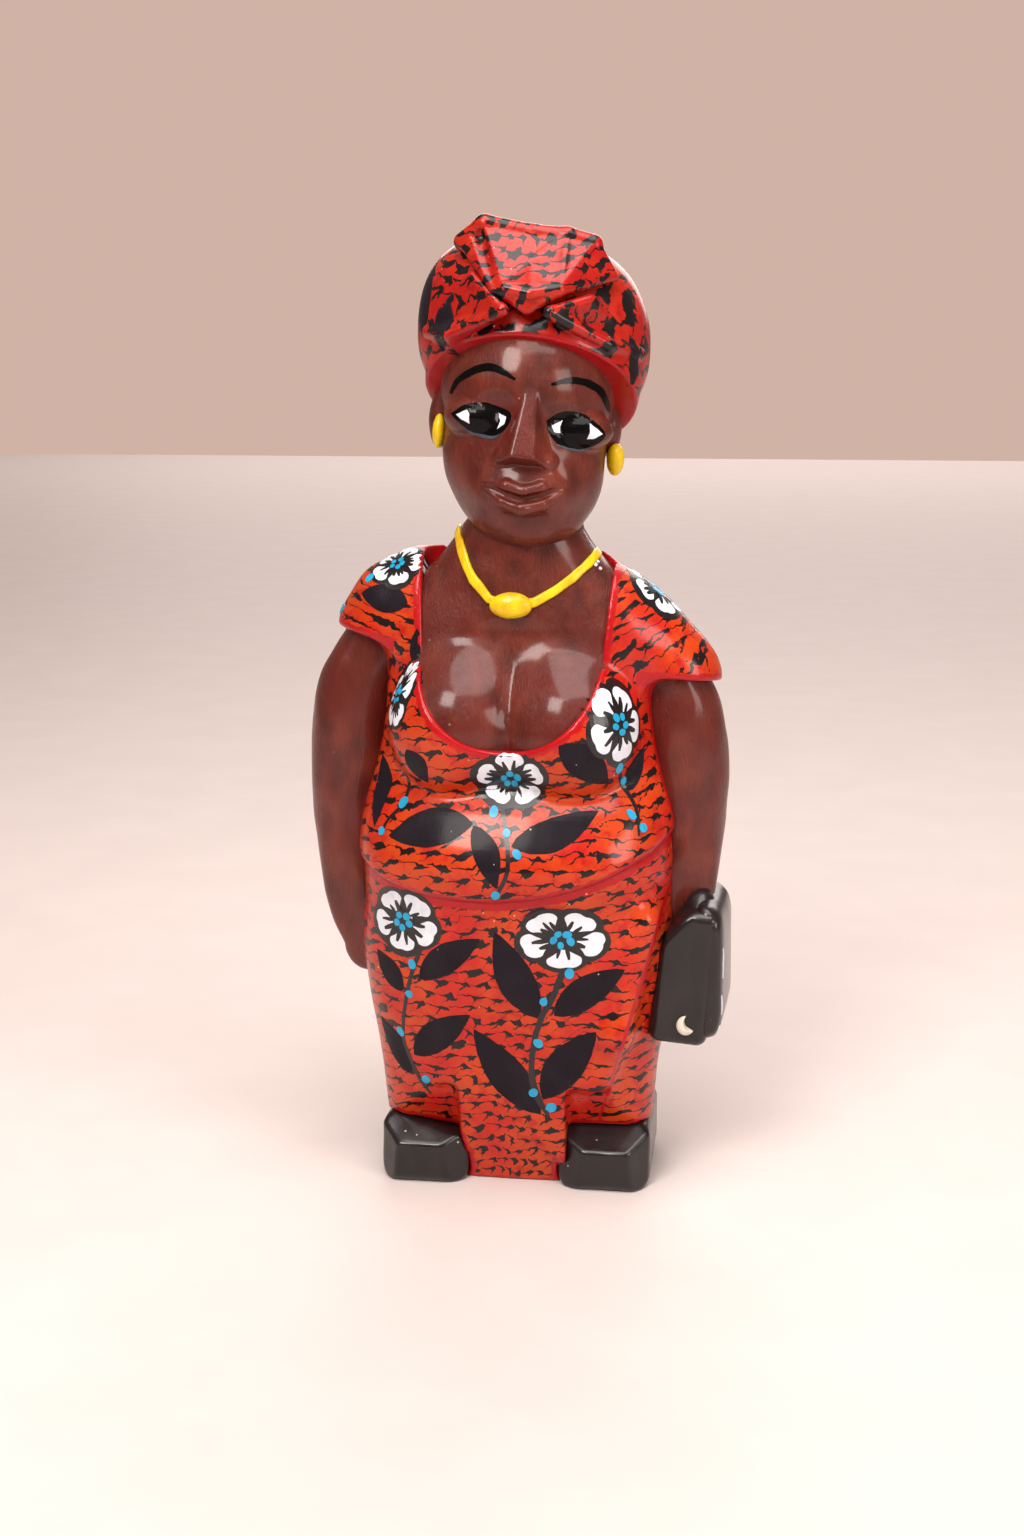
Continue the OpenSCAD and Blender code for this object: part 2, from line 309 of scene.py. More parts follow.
def armField(side):
    flats = {-1: [((-49.2, -2, 100), (-1, -0.35, 0.05)), ((-44.6, -6.2, 84), (-0.45, -1, -0.12)),
                  ((-38, -7.2, 112), (0.2, -1, 0.1))],
             1: [((47.2, -2, 100), (1, -0.35, 0.05)), ((43, -6, 86), (0.5, -1, -0.12)),
                 ((36.5, -7.2, 108), (-0.25, -1, 0.1))]}[side]

    def field(p):
        out = arm(p, side)
        for point, normal in flats:
            out = common(out, plane(p, point, normal), 1.6)
        out = out + 0.2 * lumps(p, 6, 8 + side)
        return out if side < 0 else cut(out, bagForm(p) + 1.5)
    return field


# ---- Head: carved upright about its own axis, then leant and turned on the neck ----

headPose = {"pivot": (0.5, 0.0, 150.0), "lean": 3.0, "turn": 7.0}


def headFrame(p):
    lean, turn = math.radians(headPose["lean"]), math.radians(headPose["turn"])
    dx, dy, dz = [p[i] - headPose["pivot"][i] for i in range(3)]
    x, y = dx * math.cos(turn) + dy * math.sin(turn), dy * math.cos(turn) - dx * math.sin(turn)
    return [x * math.cos(lean) - dz * math.sin(lean), y, x * math.sin(lean) + dz * math.cos(lean) + 150]


def headToFigure(point):
    lean, turn = math.radians(headPose["lean"]), math.radians(headPose["turn"])
    x, y, z = point[0], point[1], point[2] - 150
    a, c = x * math.cos(lean) + z * math.sin(lean), z * math.cos(lean) - x * math.sin(lean)
    return (a * math.cos(turn) - y * math.sin(turn) + headPose["pivot"][0],
            a * math.sin(turn) + y * math.cos(turn) + headPose["pivot"][1], c + 150)


def skull(q):
    out = join(ball(q, (-0.6, 1, 182), (19.4, 20.4, 21)), ball(q, (0.2, -3, 165.2), (17, 15.8, 17.2)), 5)
    out = join(out, ball(q, (-6.4, -3.4, 168.2), (12.2, 12.6, 11.4)), 3)
    for side in (-1, 1):
        out = join(out, ball(q, (side * 19 - 0.8, 2.5, 175), (2.6, 3.8, 6.5)), 1)
    return out


def facet(q, a, b, c, inner):
    # Half space behind the plane through three points, with inner on its solid side
    a, b, c = Vector(a), Vector(b), Vector(c)
    n = (b - a).cross(c - a).normalized()
    if (Vector(inner) - a).dot(n) > 0:
        n = -n
    return plane(q, a, n)


def nose(q):
    bridgeR, bridgeL, tipR, tipL = (
        (-0.8, -18.7, 184.8), (1.2, -18.6, 184.4), (-4, -24.2, 168.8), (1.4, -24.2, 168.6))
    wingR, wingL, middle = (-7.4, -17.4, 168), (5.8, -17.4, 167), (0, -15, 172)
    out = common(facet(q, bridgeR, tipR, wingR, middle), facet(q, bridgeL, tipL, wingL, middle), 0.5)
    out = common(out, facet(q, bridgeR, tipR, tipL, middle), 0.5)
    out = common(out, facet(q, (-0.8, -25, 169), (-6.4, -17, 166.4), (5.2, -17, 165.6), (0, -17, 176)), 0.6)
    out = common(out, plane(q, (0, -14, 170), (0, 1, 0)))
    for x, z in ((-4.9, 168.6), (4.3, 167.8)):
        out = join(out, ball(q, (x, -17.6, z), (2, 2.4, 1.7)), 1.4)
    for x in (-2.9, 2):
        out = cut(out, ball(q, (x, -20, 166.3), (1.2, 1.4, 0.8)), 0.8)
    return out


def faceField(p):
    q = headFrame(p)
    out = skull(q)
    out = join(out, ball(q, (-0.3, -13.4, 160.4), (10, 7.8, 7)), 5)
    out = join(out, ball(q, (0.6, -8.6, 155), (11.6, 8.4, 6.3)), 3)
    out = join(out, ball(q, (1, -13.6, 152.6), (5, 3.6, 2.8)), 2)
    for side, x, z in ((-1, -10.4, 177), (1, 10.2, 175.2)):
        # socket under a crisp edge, with the eyeball swelling inside it
        hollow = join(ball(q, (x, -22.6, z + 1.6), (8.4, 6.6, 6)),
                      ball(q, (x + side * 4.6, -19.8, z + 0.8), (5, 5.4, 4.6)), 2)
        out = cut(out, hollow, 0.6)
        out = join(out, ball(q, (x, -10.4, z - 0.6), (8.2, 6.6, 4.9)), 0.8)
    out = join(out, nose(q), 0.7)
    # folds from the nose to the corners of the mouth, and the dip above the lip
    for side in (-1, 1):
        crease = rod(q, (side * 7.6 - 0.6, -19.6, 167, 0.5), (side * 11.6 - 0.5, -18.8, 161, 0.5))
        out = cut(out, crease, 2)
    out = cut(out, rod(q, (-0.4, -21.8, 166.2, 0.8), (-0.3, -22.4, 164, 0.8)), 0.7)
    upper = chain(q, [(-9, -17.6, 162.9, 0.6), (-4.2, -20.2, 162.4, 1.4), (-0.4, -20.7, 161.4, 1.5),
                      (3.2, -20.2, 162.5, 1.4), (8.4, -17.6, 163, 0.6)], 0.6)
    lower = chain(q, [(-8.8, -18, 161.4, 0.5), (-5, -20.4, 159, 1.2), (-0.6, -21.4, 157.8, 1.6),
                      (3.6, -20.6, 158.9, 1.3), (8.2, -18.1, 161.6, 0.5)], 0.8)
    out = join(out, upper, 0.5)
    out = join(out, lower, 0.4)
    slit = chain(q, [(-10.2, -18.8, 162.9, 0.7), (-4.7, -21.2, 160.7, 1), (-1, -21.9, 159.7, 1.1),
                     (3, -21.4, 160.7, 1), (9.4, -19, 163, 0.7)])
    out = cut(out, slit, 0.3)
    out = cut(out, chain(q, [(-4, -20, 155.3, 1), (0.2, -20.8, 154.6, 1.2), (4, -20, 155.4, 1)], 1), 1.8)
    return out + 0.1 * lumps(q, 4.5, 6)


# ---- Headwrap ----

def sheet(q, a, b, c, thick):
    # A flat three-cornered fold of cloth with rounded edges
    a, b, c = np.array(a, float), np.array(b, float), np.array(c, float)
    n = np.cross(b - a, c - a)
    n /= np.linalg.norm(n)
    off = sum((q[i] - a[i]) * n[i] for i in range(3))
    edge, within = None, True
    for s, e in ((a, b), (b, c), (c, a)):
        d = e - s
        t = np.clip(sum((q[i] - s[i]) * d[i] for i in range(3)) / (d @ d), 0, 1)
        gap = sum((q[i] - s[i] - t * d[i]) ** 2 for i in range(3))
        edge = gap if edge is None else np.minimum(edge, gap)
        side = np.cross(n, d)
        within = within & (sum((q[i] - s[i]) * side[i] for i in range(3)) > 0)
    return np.where(within, np.abs(off), np.sqrt(edge)) - thick


def wrapLip(q):
    return plane(q, (0, 0, 181.1), (-0.07, -0.6, -0.8))


def crownField(p):
    q = headFrame(p)
    # leans a little: fuller over the wearer's right
    x, y, z = q[0] - 0.1, q[1] - 7, q[2] - 194 + 0.08 * q[0]
    r = (np.abs(x / 26) ** 2.3 + np.abs(y / 19.8) ** 2.3 + np.abs(z / 22.8) ** 2.3) ** (1 / 2.3)
    out = np.sqrt(x * x + y * y + z * z) * (1 - 1 / np.maximum(r, 1e-3))
    # two folds that run over the crown towards the back
    for beads in ([(-17, -6, 211, 1), (-14, 8, 216.5, 1), (-9, 22, 210, 1)],
                  [(14, -5, 212.5, 1), (14, 8, 215.5, 1), (10, 22, 209, 1)]):
        out = cut(out, chain(q, beads, 2), 2.4)
    return common(out, wrapLip(q) + 1.5, 0.8) + 0.2 * lumps(q, 7, 11)


def bandField(p):
    q = headFrame(p)
    out = ball(q, (0.4, 1.5, 185.4), (24, 20.3, 24))
    lobes = None
    for side, peak, tail in ((-1, (-13.8, -11.6, 205.6), (-23, -2.4, 194)),
                             (1, (11.6, -13.6, 202), (23.2, -2.4, 191.5))):
        pinch = (side * 5 - 2, -19.4, 199)
        low = (side * 16.5 - 0.5, -13.2, 193)
        rear = (side * 20.5 + 0.3, 10, 183)
        for a, b, c in ((pinch, peak, tail), (pinch, tail, low), (low, tail, rear)):
            fold = sheet(q, a, b, c, 1.4)
            lobes = fold if lobes is None else join(lobes, fold, 0.3)
    out = join(out, lobes, 0.8)
    for side in (-1, 1):
        out = cut(out, rod(q, (side * 5.6 - 2, -21.4, 197.2, 0.5), (side * 13 - 1, -19.4, 194, 0.3)), 1.2)
    return common(out, wrapLip(q), 0.5) + 0.1 * lumps(q, 6, 12)


def knotField(p):
    q = headFrame(p)
    crest = [(-16.4, -5, 213.2), (-11.8, -7, 217), (-1.4, -6.4, 215.6), (6, -6.6, 215.4), (11.8, -6, 214.2)]
    left, right, peak, chin = (
        (-8.8, -17.4, 203.8), (4.9, -17.8, 203.8), (-1.6, -12.4, 209), (-1.2, -19.4, 202.6))
    low = (16.2, -7.5, 207.6)
    folds = [(crest[0], crest[1], left), (crest[1], crest[2], peak), (crest[1], peak, left),
             (crest[2], crest[3], peak),
             (crest[3], right, peak), (crest[3], crest[4], right), (peak, left, chin), (peak, right, chin),
             (crest[4], right, low), (left, right, (-1.8, -18.4, 199.6))]
    out = ball(q, (-2.2, 2.5, 204.6), (12, 10, 8.6))
    for a, b, c in folds:
        out = join(out, sheet(q, a, b, c, 1.3), 0.35)
    # the folds run back over the crown behind the crest
    for a, b, back in zip(crest[:-1], crest[1:],
                          ((-12, 12, 211), (-5, 14, 212), (3, 14, 212), (9, 12, 210.5))):
        out = join(out, sheet(q, a, b, back, 2), 0.8)
    # the crease beside the left fold
    out = cut(out, rod(q, (-9.2, -19, 204.4, 1.1), (-12.8, -8.6, 214.5, 1.1)), 1.4)
    return out + 0.08 * lumps(q, 5, 13)


# ---- Shoes and bag ----

def shoe(p, side):
    centre = side * 21
    out = bar(p, (centre, 2, 7.3), (10.3 if side < 0 else 10.7, 17.8, 7.7), 3.2)
    slope = plane(p, (0, -8.5, 14.6), (0, -0.56, 0.83))
    toeIn = plane(p, (centre - side * 5.5, -15.8, 0), (-side * 0.6, -0.8, 0.05))
    toeOut = plane(p, (centre + side * 6.6, -15.8, 0), (side * 0.75, -0.66, 0.05))
    roof = plane(p, (centre + side * 9, 0, 15.2),
                 (-0.22 * side, 0, 1)) if side < 0 else plane(p, (30, 0, 14.8), (-0.04, 0, 1))
    for face in (slope, toeIn, toeOut, roof):
        out = common(out, face, 0.6)
    return common(out, -p[2])


def shoeField(side):
    return lambda p: common(shoe(p, side) + 0.1 * lumps(p, 5, 20 + side), -p[2], 0.6)


def bagForm(p):
    inner = bar(p, (38.9, -2.6, 52), (6.6, 12, 15.8), 2.4, (0, 5, 0))
    inner = cut(inner, rod(p, (41.2, -15.6, 36, 1), (40.6, -15.6, 66, 1)), 1)
    return common(inner, plane(p, (36, 0, 65.4), (-0.72, -0.1, 0.68)), 2)


def bagField(p):
    return bagForm(p) + 0.08 * lumps(p, 5, 31)


def flapField(p):
    pad = bar(p, (45.5, -2.6, 53.6), (3.9, 11.8, 17.2), 3.8, (0, -1, 0))
    pad = common(pad, plane(p, (47.4, 0, 68), (0.6, -0.1, 0.8)), 4)
    pad = common(pad, plane(p, (48.9, 0, 41), (0.72, 0, -0.7)), 3)
    return common(pad, plane(p, (49.2, 0, 52), (1, -0.12, 0)), 2) + 0.08 * lumps(p, 5, 32)


def strapField(p):
    out = None
    for y in (-8.5, 4):
        loop = chain(p, [(42.5, y, 60, 2.6), (42.8, y * 0.9, 64.6, 2.5), (42.4, y * 0.6, 67.6, 2.4),
                         (42, y * 0.2 - 0.5, 69, 2.4)], 2)
        out = loop if out is None else join(out, loop)
    return join(out, ball(p, (41.6, -2.4, 63.4), (4.4, 9.6, 6)), 2)


# ---- Jewellery ----

necklacePath = [(-14.2, 152), (-12.9, 149.6), (-11, 145), (-9, 141.4), (-5.4, 137.4), (-0.3, 136),
                (4.8, 136.9),
                (8.8, 139.2), (12.8, 142), (16, 145), (19, 148.4)]


def necklaceField(p):
    x, y, z = p
    near = None
    for a, b in zip(necklacePath[:-1], necklacePath[1:]):
        dx, dz = b[0] - a[0], b[1] - a[1]
        t = np.clip(((x - a[0]) * dx + (z - a[1]) * dz) / (dx * dx + dz * dz), 0, 1)
        gap = np.sqrt((x - a[0] - t * dx) ** 2 + (z - a[1] - t * dz) ** 2)
        near = gap if near is None else np.minimum(near, gap)
    under = bareForm(p)
    out = common(common(under - 0.75, near - 1.05 + 0.15 * lumps(p, 3, 41), 0.6), -under - 0.8)
    return common(out, y + 1)


def pendantField(p):
    out = ball(p, (-0.4, -14.4, 136.2), (4.7, 2.4, 2.9))
    return cut(out, ball(p, (-0.4, -17.2, 138.2), (2.6, 0.8, 0.7)), 0.4) + 0.1 * lumps(p, 3, 42)


def chokerField(p):
    x, y, z = p
    level = 149.2 + 0.02 * x + 0.1 * y
    return common(common(neck(p) - 0.45, np.abs(z - level) - 0.6, 0.4), -neck(p) - 0.6)


def earringField(centre, radii):
    return lambda p: ball(headFrame(p), centre, radii) + 0.12 * lumps(p, 3, 43)


def claspField(p):
    disc = ball(p, (39.6, -15.2, 41.4), (2.1, 1.1, 2.3))
    return cut(disc, ball(p, (41, -15.6, 42.2), (1.9, 2.4, 2)), 0.2)


# ---- Turning a field into a mesh ----

def skinOver(field, low, high, step, sharpen=2):
    axes = [np.arange(low[i] - 2 * step, high[i] + 3 * step, step, dtype=np.float32) for i in range(3)]
    shape = tuple(len(a) for a in axes)
    grid = (axes[0][:, None, None], axes[1][None, :, None], axes[2][None, None, :])
    value = np.ascontiguousarray(np.broadcast_to(field(grid), shape), dtype=np.float32)
    inside = value < 0
    corners = [(i, j, k) for i in (0, 1) for j in (0, 1) for k in (0, 1)]
    count = np.zeros([n - 1 for n in shape], np.int8)
    for i, j, k in corners:
        count += inside[i:shape[0] - 1 + i, j:shape[1] - 1 + j, k:shape[2] - 1 + k]
    cells = np.argwhere((count > 0) & (count < 8))
    total, hits = np.zeros((len(cells), 3)), np.zeros(len(cells))
    for a in corners:
        for axis in range(3):
            if a[axis]:
                continue
            b = list(a)
            b[axis] = 1
            va = value[tuple((cells + a).T)]
            vb = value[tuple((cells + b).T)]
            crossed = (va < 0) != (vb < 0)
            t = va / np.where(crossed, va - vb, 1)
            spot = np.tile(np.array(a, float), (len(cells), 1))
            spot[:, axis] = t
            total += spot * crossed[:, None]
            hits += crossed
    points = np.array([a[0] for a in axes]) + (cells + total / hits[:, None]) * step
    index = np.full(count.shape, -1, np.int64)
    index[tuple(cells.T)] = np.arange(len(cells))
    quads = []
    for axis in range(3):
        u, v = (axis + 1) % 3, (axis + 2) % 3
        first = [slice(1, -1)] * 3
        second = [slice(1, -1)] * 3
        first[axis], second[axis] = slice(0, -1), slice(1, None)
        a, b = inside[tuple(first)], inside[tuple(second)]
        spots = np.argwhere(a != b)
        outward = a[tuple(spots.T)]
        offset = np.ones(3, int)
        offset[axis] = 0
        spots = spots + offset
        stepU, stepV = np.eye(3, dtype=int)[u], np.eye(3, dtype=int)[v]
        ring = [spots - stepU - stepV, spots - stepV, spots, spots - stepU]
        ids = np.stack([index[tuple(r.T)] for r in ring], 1)
        ids[~outward] = ids[~outward][:, ::-1]
        quads.append(ids)
    quads = np.concatenate(quads)
    for _ in range(sharpen):
        points = settle(field, points, step)
    return largestPart(points, quads)


def gradient(field, points, reach=0.08):
    columns = [points[:, i] for i in range(3)]
    out = np.empty_like(points)
    for i in range(3):
        ahead, behind = list(columns), list(columns)
        ahead[i], behind[i] = columns[i] + reach, columns[i] - reach
        out[:, i] = (field(ahead) - field(behind)) / (2 * reach)
    return out


def settle(field, points, step):
    # Moves the points onto the field's own surface
    slope = gradient(field, points)
    gap = field([points[:, i] for i in range(3)])
    move = slope * (gap / np.maximum((slope ** 2).sum(1), 0.2))[:, None]
    length = np.linalg.norm(move, axis=1)
    return points - move * np.minimum(1, 0.45 * step / np.maximum(length, 1e-6))[:, None]


def largestPart(points, quads):
    label = np.arange(len(points))
    links = np.concatenate([quads[:, [0, 1]], quads[:, [1, 2]], quads[:, [2, 3]]])
    while True:
        low = np.minimum(label[links[:, 0]], label[links[:, 1]])
        before = label.copy()
        np.minimum.at(label, links[:, 0], low)
        np.minimum.at(label, links[:, 1], low)
        label = label[label]
        if np.array_equal(before, label):
            break
    keep = label == np.bincount(label).argmax()
    renumber = np.cumsum(keep) - 1
    return points[keep], renumber[quads[keep[quads[:, 0]]]]


def meshPiece(name, points, quads):
    data = bpy.data.meshes.new(name)
    data.vertices.add(len(points))
    data.vertices.foreach_set("co", toMetres(points).astype(np.float32).ravel())
    data.loops.add(quads.size)
    data.loops.foreach_set("vertex_index", quads.astype(np.int32).ravel())
    data.polygons.add(len(quads))
    data.polygons.foreach_set("loop_start", np.arange(0, quads.size, 4, dtype=np.int32))
    data.update(calc_edges=True)
    data.validate()
    data.shade_smooth()
    piece = bpy.data.objects.new(name, data)
    bpy.context.collection.objects.link(piece)
    return piece


def carve(name, field, nodes, step=0.6, reach=(3, 3, 3)):
    boxes = [nodeBox(n) for n in nodes]
    low = [min(b[0][i] for b in boxes) - reach[i] for i in range(3)]
    high = [max(b[1][i] for b in boxes) + reach[i] for i in range(3)]
    points, quads = skinOver(field, low, high, step)
    piece = meshPiece(name, points, quads)
    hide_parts(*nodes)
    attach(piece, "root")
    if name in trims:
        place = [np.ascontiguousarray(points[:, i]) for i in range(3)]
        piece.data.attributes.new("edge", "FLOAT", "POINT").data.foreach_set("value", trims[name](place))
    print("carved", name, len(quads) * 2, "triangles")
    return piece


def dressTrim(p):
    # How far each point of the dress is from the plain bands along its edges
    fold = p[2] - foldHeight(p[0])
    neckline = neckOpening(p)
    sleeveEdge = np.where(np.abs(p[0]) > 27, np.minimum(np.abs(aboveHem(p, -1)) + 50 * (p[0] > 0),
                                                        np.abs(aboveHem(p, 1)) + 50 * (p[0] < 0)), 50)
    armLine = np.minimum(cut(arm(p, -1), -p[0]), arm(p, 1))
    return np.minimum(np.minimum(np.abs(fold), np.abs(neckline)),
                      np.minimum(sleeveEdge, np.abs(armLine))).astype(np.float32)


def skirtTrim(p):
    fold = np.abs(p[2] - foldHeight(p[0]))
    shoes = np.minimum(np.abs(shoe(p, -1)), np.abs(shoe(p, 1)))
    ridge = 2.4 * np.abs(p[0] - (15.5 + 0.27 * p[2])) + 0.5 + 40 * (p[1] > 0)
    return np.minimum(np.minimum(fold, shoes), np.minimum(ridge, p[2] + 1)).astype(np.float32)


def wrapTrim(p):
    q = headFrame(p)
    return np.abs(wrapLip(q)).astype(np.float32)


trims = {"dressCloth": dressTrim, "skirtCloth": skirtTrim, "wrapBand": wrapTrim,
         "wrapCrown": lambda p: np.full(len(p[0]), 20, np.float32),
         "wrapKnot": lambda p: np.full(len(p[0]), 20, np.float32)}
carvings = [  # name, field, the CAD nodes it stands for, slot, fineness in mm
    ("skirtCloth", skirtField, ["skirt"], "dress_paint", 0.7),
    ("dressCloth", bodiceField, ["bodice", "right_sleeve", "left_sleeve"], "dress_paint", 0.6),
    ("bareChest", chestField, ["chest"], "skin_paint", 0.6),
    ("rightArm", armField(-1), ["right_arm"], "skin_paint", 0.7),
    ("leftArm", armField(1), ["left_arm"], "skin_paint", 0.7),
    ("faceSkin", faceField, ["head"], "skin_paint", 0.4),
    ("wrapBand", bandField, ["wrap_band"], "dress_paint", 0.5),
    ("wrapCrown", crownField, ["wrap_crown"], "dress_paint", 0.6),
    ("wrapKnot", knotField, ["wrap_knot"], "dress_paint", 0.5),
    ("rightShoe", shoeField(-1), ["right_shoe"], "black_paint", 0.6),
    ("leftShoe", shoeField(1), ["left_shoe"], "black_paint", 0.6),
    ("bagBody", bagField, ["handbag"], "black_paint", 0.5),
    ("bagFlap", flapField, ["handbag_flap"], "black_paint", 0.5),
    ("bagStrap", strapField, ["handbag_strap"], "black_paint", 0.5),
    ("necklaceBand", necklaceField, ["necklace"], "yellow_paint", 0.35),
    ("pendantBead", pendantField, ["pendant"], "yellow_paint", 0.35),
    ("chokerLine", chokerField, ["choker"], "yellow_paint", 0.35),
    ("rightEarring", earringField((-19.9, -2, 172.6), (1.4, 2.4, 3.8)), ["right_earring"], "yellow_paint",
     0.35),
    ("claspMark", claspField, ["handbag_clasp"], "cream_paint", 0.25),
    ("leftEarring", earringField((19.6, -1, 168.2), (2, 2.6, 3.6)), ["left_earring"], "yellow_paint", 0.35)]
carved = {name: carve(name, field, nodes, step)
          for name, field, nodes, slotName, step in carvings}

# ---- Paint and wood: shared shader groups first, then one material for each paint ----

def nodeGroup(name, inputs, outputs):
    tree = bpy.data.node_groups.new(name, "ShaderNodeTree")
    for label, kind, value in inputs:
        socket = tree.interface.new_socket(name=label, in_out="INPUT", socket_type=kind)
        if value is not None:
            socket.default_value = value
    for label, kind in outputs:
        tree.interface.new_socket(name=label, in_out="OUTPUT", socket_type=kind)
    return tree, tree.nodes.new("NodeGroupInput"), tree.nodes.new("NodeGroupOutput")


def feed(tree, socket, value):
    # A socket is linked, a plain value is set on the input itself
    if isinstance(value, bpy.types.NodeSocket):
        tree.links.new(value, socket)
    else:
        socket.default_value = value


def maths(tree, operation, *values, clamp=False):
    node = tree.nodes.new("ShaderNodeMath")
    node.operation = operation
    node.use_clamp = clamp
    for socket, value in zip(node.inputs, values):
        feed(tree, socket, value)
    return node.outputs[0]


def remap(tree, value, low, high, toLow=0.0, toHigh=1.0, smooth=True):
    node = tree.nodes.new("ShaderNodeMapRange")
    node.interpolation_type = "SMOOTHSTEP" if smooth else "LINEAR"
    for socket, v in zip((node.inputs[0], node.inputs[1], node.inputs[2], node.inputs[3], node.inputs[4]),
                         (value, low, high, toLow, toHigh)):
        feed(tree, socket, v)
    return node.outputs[0]


def blend(tree, factor, a, b, how="MIX"):
    node = tree.nodes.new("ShaderNodeMix")
    node.data_type = "RGBA"
    node.blend_type = how
    feed(tree, node.inputs[0], factor)
    feed(tree, node.inputs[6], a)
    feed(tree, node.inputs[7], b)
    return node.outputs[2]


def noise(tree, vector, scale, detail=2.0, rough=0.5):
    node = tree.nodes.new("ShaderNodeTexNoise")
    feed(tree, node.inputs["Vector"], vector)
    node.inputs["Scale"].default_value = scale
    node.inputs["Detail"].default_value = detail
    node.inputs["Roughness"].default_value = rough
    return node.outputs[0]


def scaled(tree, vector, factors):
    node = tree.nodes.new("ShaderNodeVectorMath")
    node.operation = "MULTIPLY"
    feed(tree, node.inputs[0], vector)
    node.inputs[1].default_value = factors
    return node.outputs[0]


def coords(tree, x, y, z=0.0):
    node = tree.nodes.new("ShaderNodeCombineXYZ")
    for socket, value in zip(node.inputs, (x, y, z)):
        feed(tree, socket, value)
    return node.outputs[0]


def wearGroup():
    # Chips, fine specks and handling dirt in a hand-painted coat
    tree, given, out = nodeGroup("handPaintWear", [
        ("Vector", "NodeSocketVector", None),
        ("Paint", "NodeSocketColor", None), ("Under", "NodeSocketColor", None),
        ("Chips", "NodeSocketFloat", 0.3),
        ("Specks", "NodeSocketFloat", 0.3), ("Dirt", "NodeSocketFloat", 0.3)],
        [("Color", "NodeSocketColor"), ("Roughness", "NodeSocketFloat"), ("Height", "NodeSocketFloat")])
    v = given.outputs["Vector"]
    broad = noise(tree, v, 0.09, 4, 0.6)
    fine = noise(tree, v, 0.8, 4, 0.65)
    dabs = tree.nodes.new("ShaderNodeTexVoronoi")
    feed(tree, dabs.inputs["Vector"], v)
    dabs.inputs["Scale"].default_value = 0.33
    offset = maths(tree, "MULTIPLY", tree.nodes[dabs.name].outputs["Color"], 1.0)
    near = maths(tree, "SUBTRACT", maths(tree, "MULTIPLY", offset, 0.16), dabs.outputs["Distance"])
    near = maths(tree, "ADD", near, maths(tree, "MULTIPLY", given.outputs["Specks"], 0.12))
    speck = remap(tree, near, 0.06, 0.09)
    chipField = maths(tree, "ADD", maths(tree, "MULTIPLY", fine, 0.55),
                      maths(tree, "MULTIPLY", broad, 0.45))
    level = maths(tree, "SUBTRACT", 0.8, maths(tree, "MULTIPLY", given.outputs["Chips"], 0.25))
    chip = remap(tree, chipField, level, maths(tree, "ADD", level, 0.02))
    mark = maths(tree, "MAXIMUM", chip, maths(tree, "MULTIPLY", speck, 0.85))
    shade = remap(tree, broad, 0.35, 0.75, 1.0, 0.72)
    dirt = maths(tree, "ADD",
                 maths(tree, "MULTIPLY", maths(tree, "SUBTRACT", shade, 1.0), given.outputs["Dirt"]), 1.0)
    darker = blend(tree, 1.0, given.outputs["Paint"], coords(tree, dirt, dirt, dirt), "MULTIPLY")
    feed(tree, out.inputs["Color"], blend(tree, mark, darker, given.outputs["Under"]))
    rough = maths(tree, "ADD", maths(tree, "MULTIPLY", fine, 0.22), maths(tree, "MULTIPLY", mark, 0.35))
    feed(tree, out.inputs["Roughness"], rough)
    height = maths(tree, "SUBTRACT", maths(tree, "MULTIPLY", fine, 0.5), maths(tree, "MULTIPLY", mark, 0.6))
    feed(tree, out.inputs["Height"], height)
    return tree


def carvedGroup():
    # Shallow knife facets and fine brush hairs left under the paint
    tree, given, out = nodeGroup("knifeMarks", [
        ("Vector", "NodeSocketVector", None),
        ("Size", "NodeSocketFloat", 0.25), ("Hairs", "NodeSocketFloat", 0.4)],
        [("Height", "NodeSocketFloat"), ("Tone", "NodeSocketFloat")])
    v = given.outputs["Vector"]
    bend = tree.nodes.new("ShaderNodeVectorMath")
    bend.operation = "MULTIPLY_ADD"
    swirl = tree.nodes.new("ShaderNodeTexNoise")
    feed(tree, swirl.inputs["Vector"], v)
    swirl.inputs["Scale"].default_value = 0.12
    feed(tree, bend.inputs[0], swirl.outputs["Color"])
    bend.inputs[1].default_value = (5, 5, 5)
    feed(tree, bend.inputs[2], v)
    cells = tree.nodes.new("ShaderNodeTexVoronoi")
    cells.feature = "SMOOTH_F1"
    feed(tree, cells.inputs["Vector"], scaled(tree, bend.outputs[0], (1, 1, 0.55)))
    feed(tree, cells.inputs["Scale"], given.outputs["Size"])
    cells.inputs["Smoothness"].default_value = 0.35
    hairs = noise(tree, scaled(tree, bend.outputs[0], (2.2, 2.2, 0.35)), 1.0, 5, 0.6)
    height = maths(tree, "ADD", maths(tree, "MULTIPLY", cells.outputs["Distance"], 0.8),
                   maths(tree, "MULTIPLY", hairs, given.outputs["Hairs"]))
    feed(tree, out.inputs["Height"], height)
    tone = maths(tree, "ADD", maths(tree, "MULTIPLY", cells.outputs["Distance"], 0.6),
                 maths(tree, "MULTIPLY", hairs, 0.5))
    feed(tree, out.inputs["Tone"], tone)
    return tree


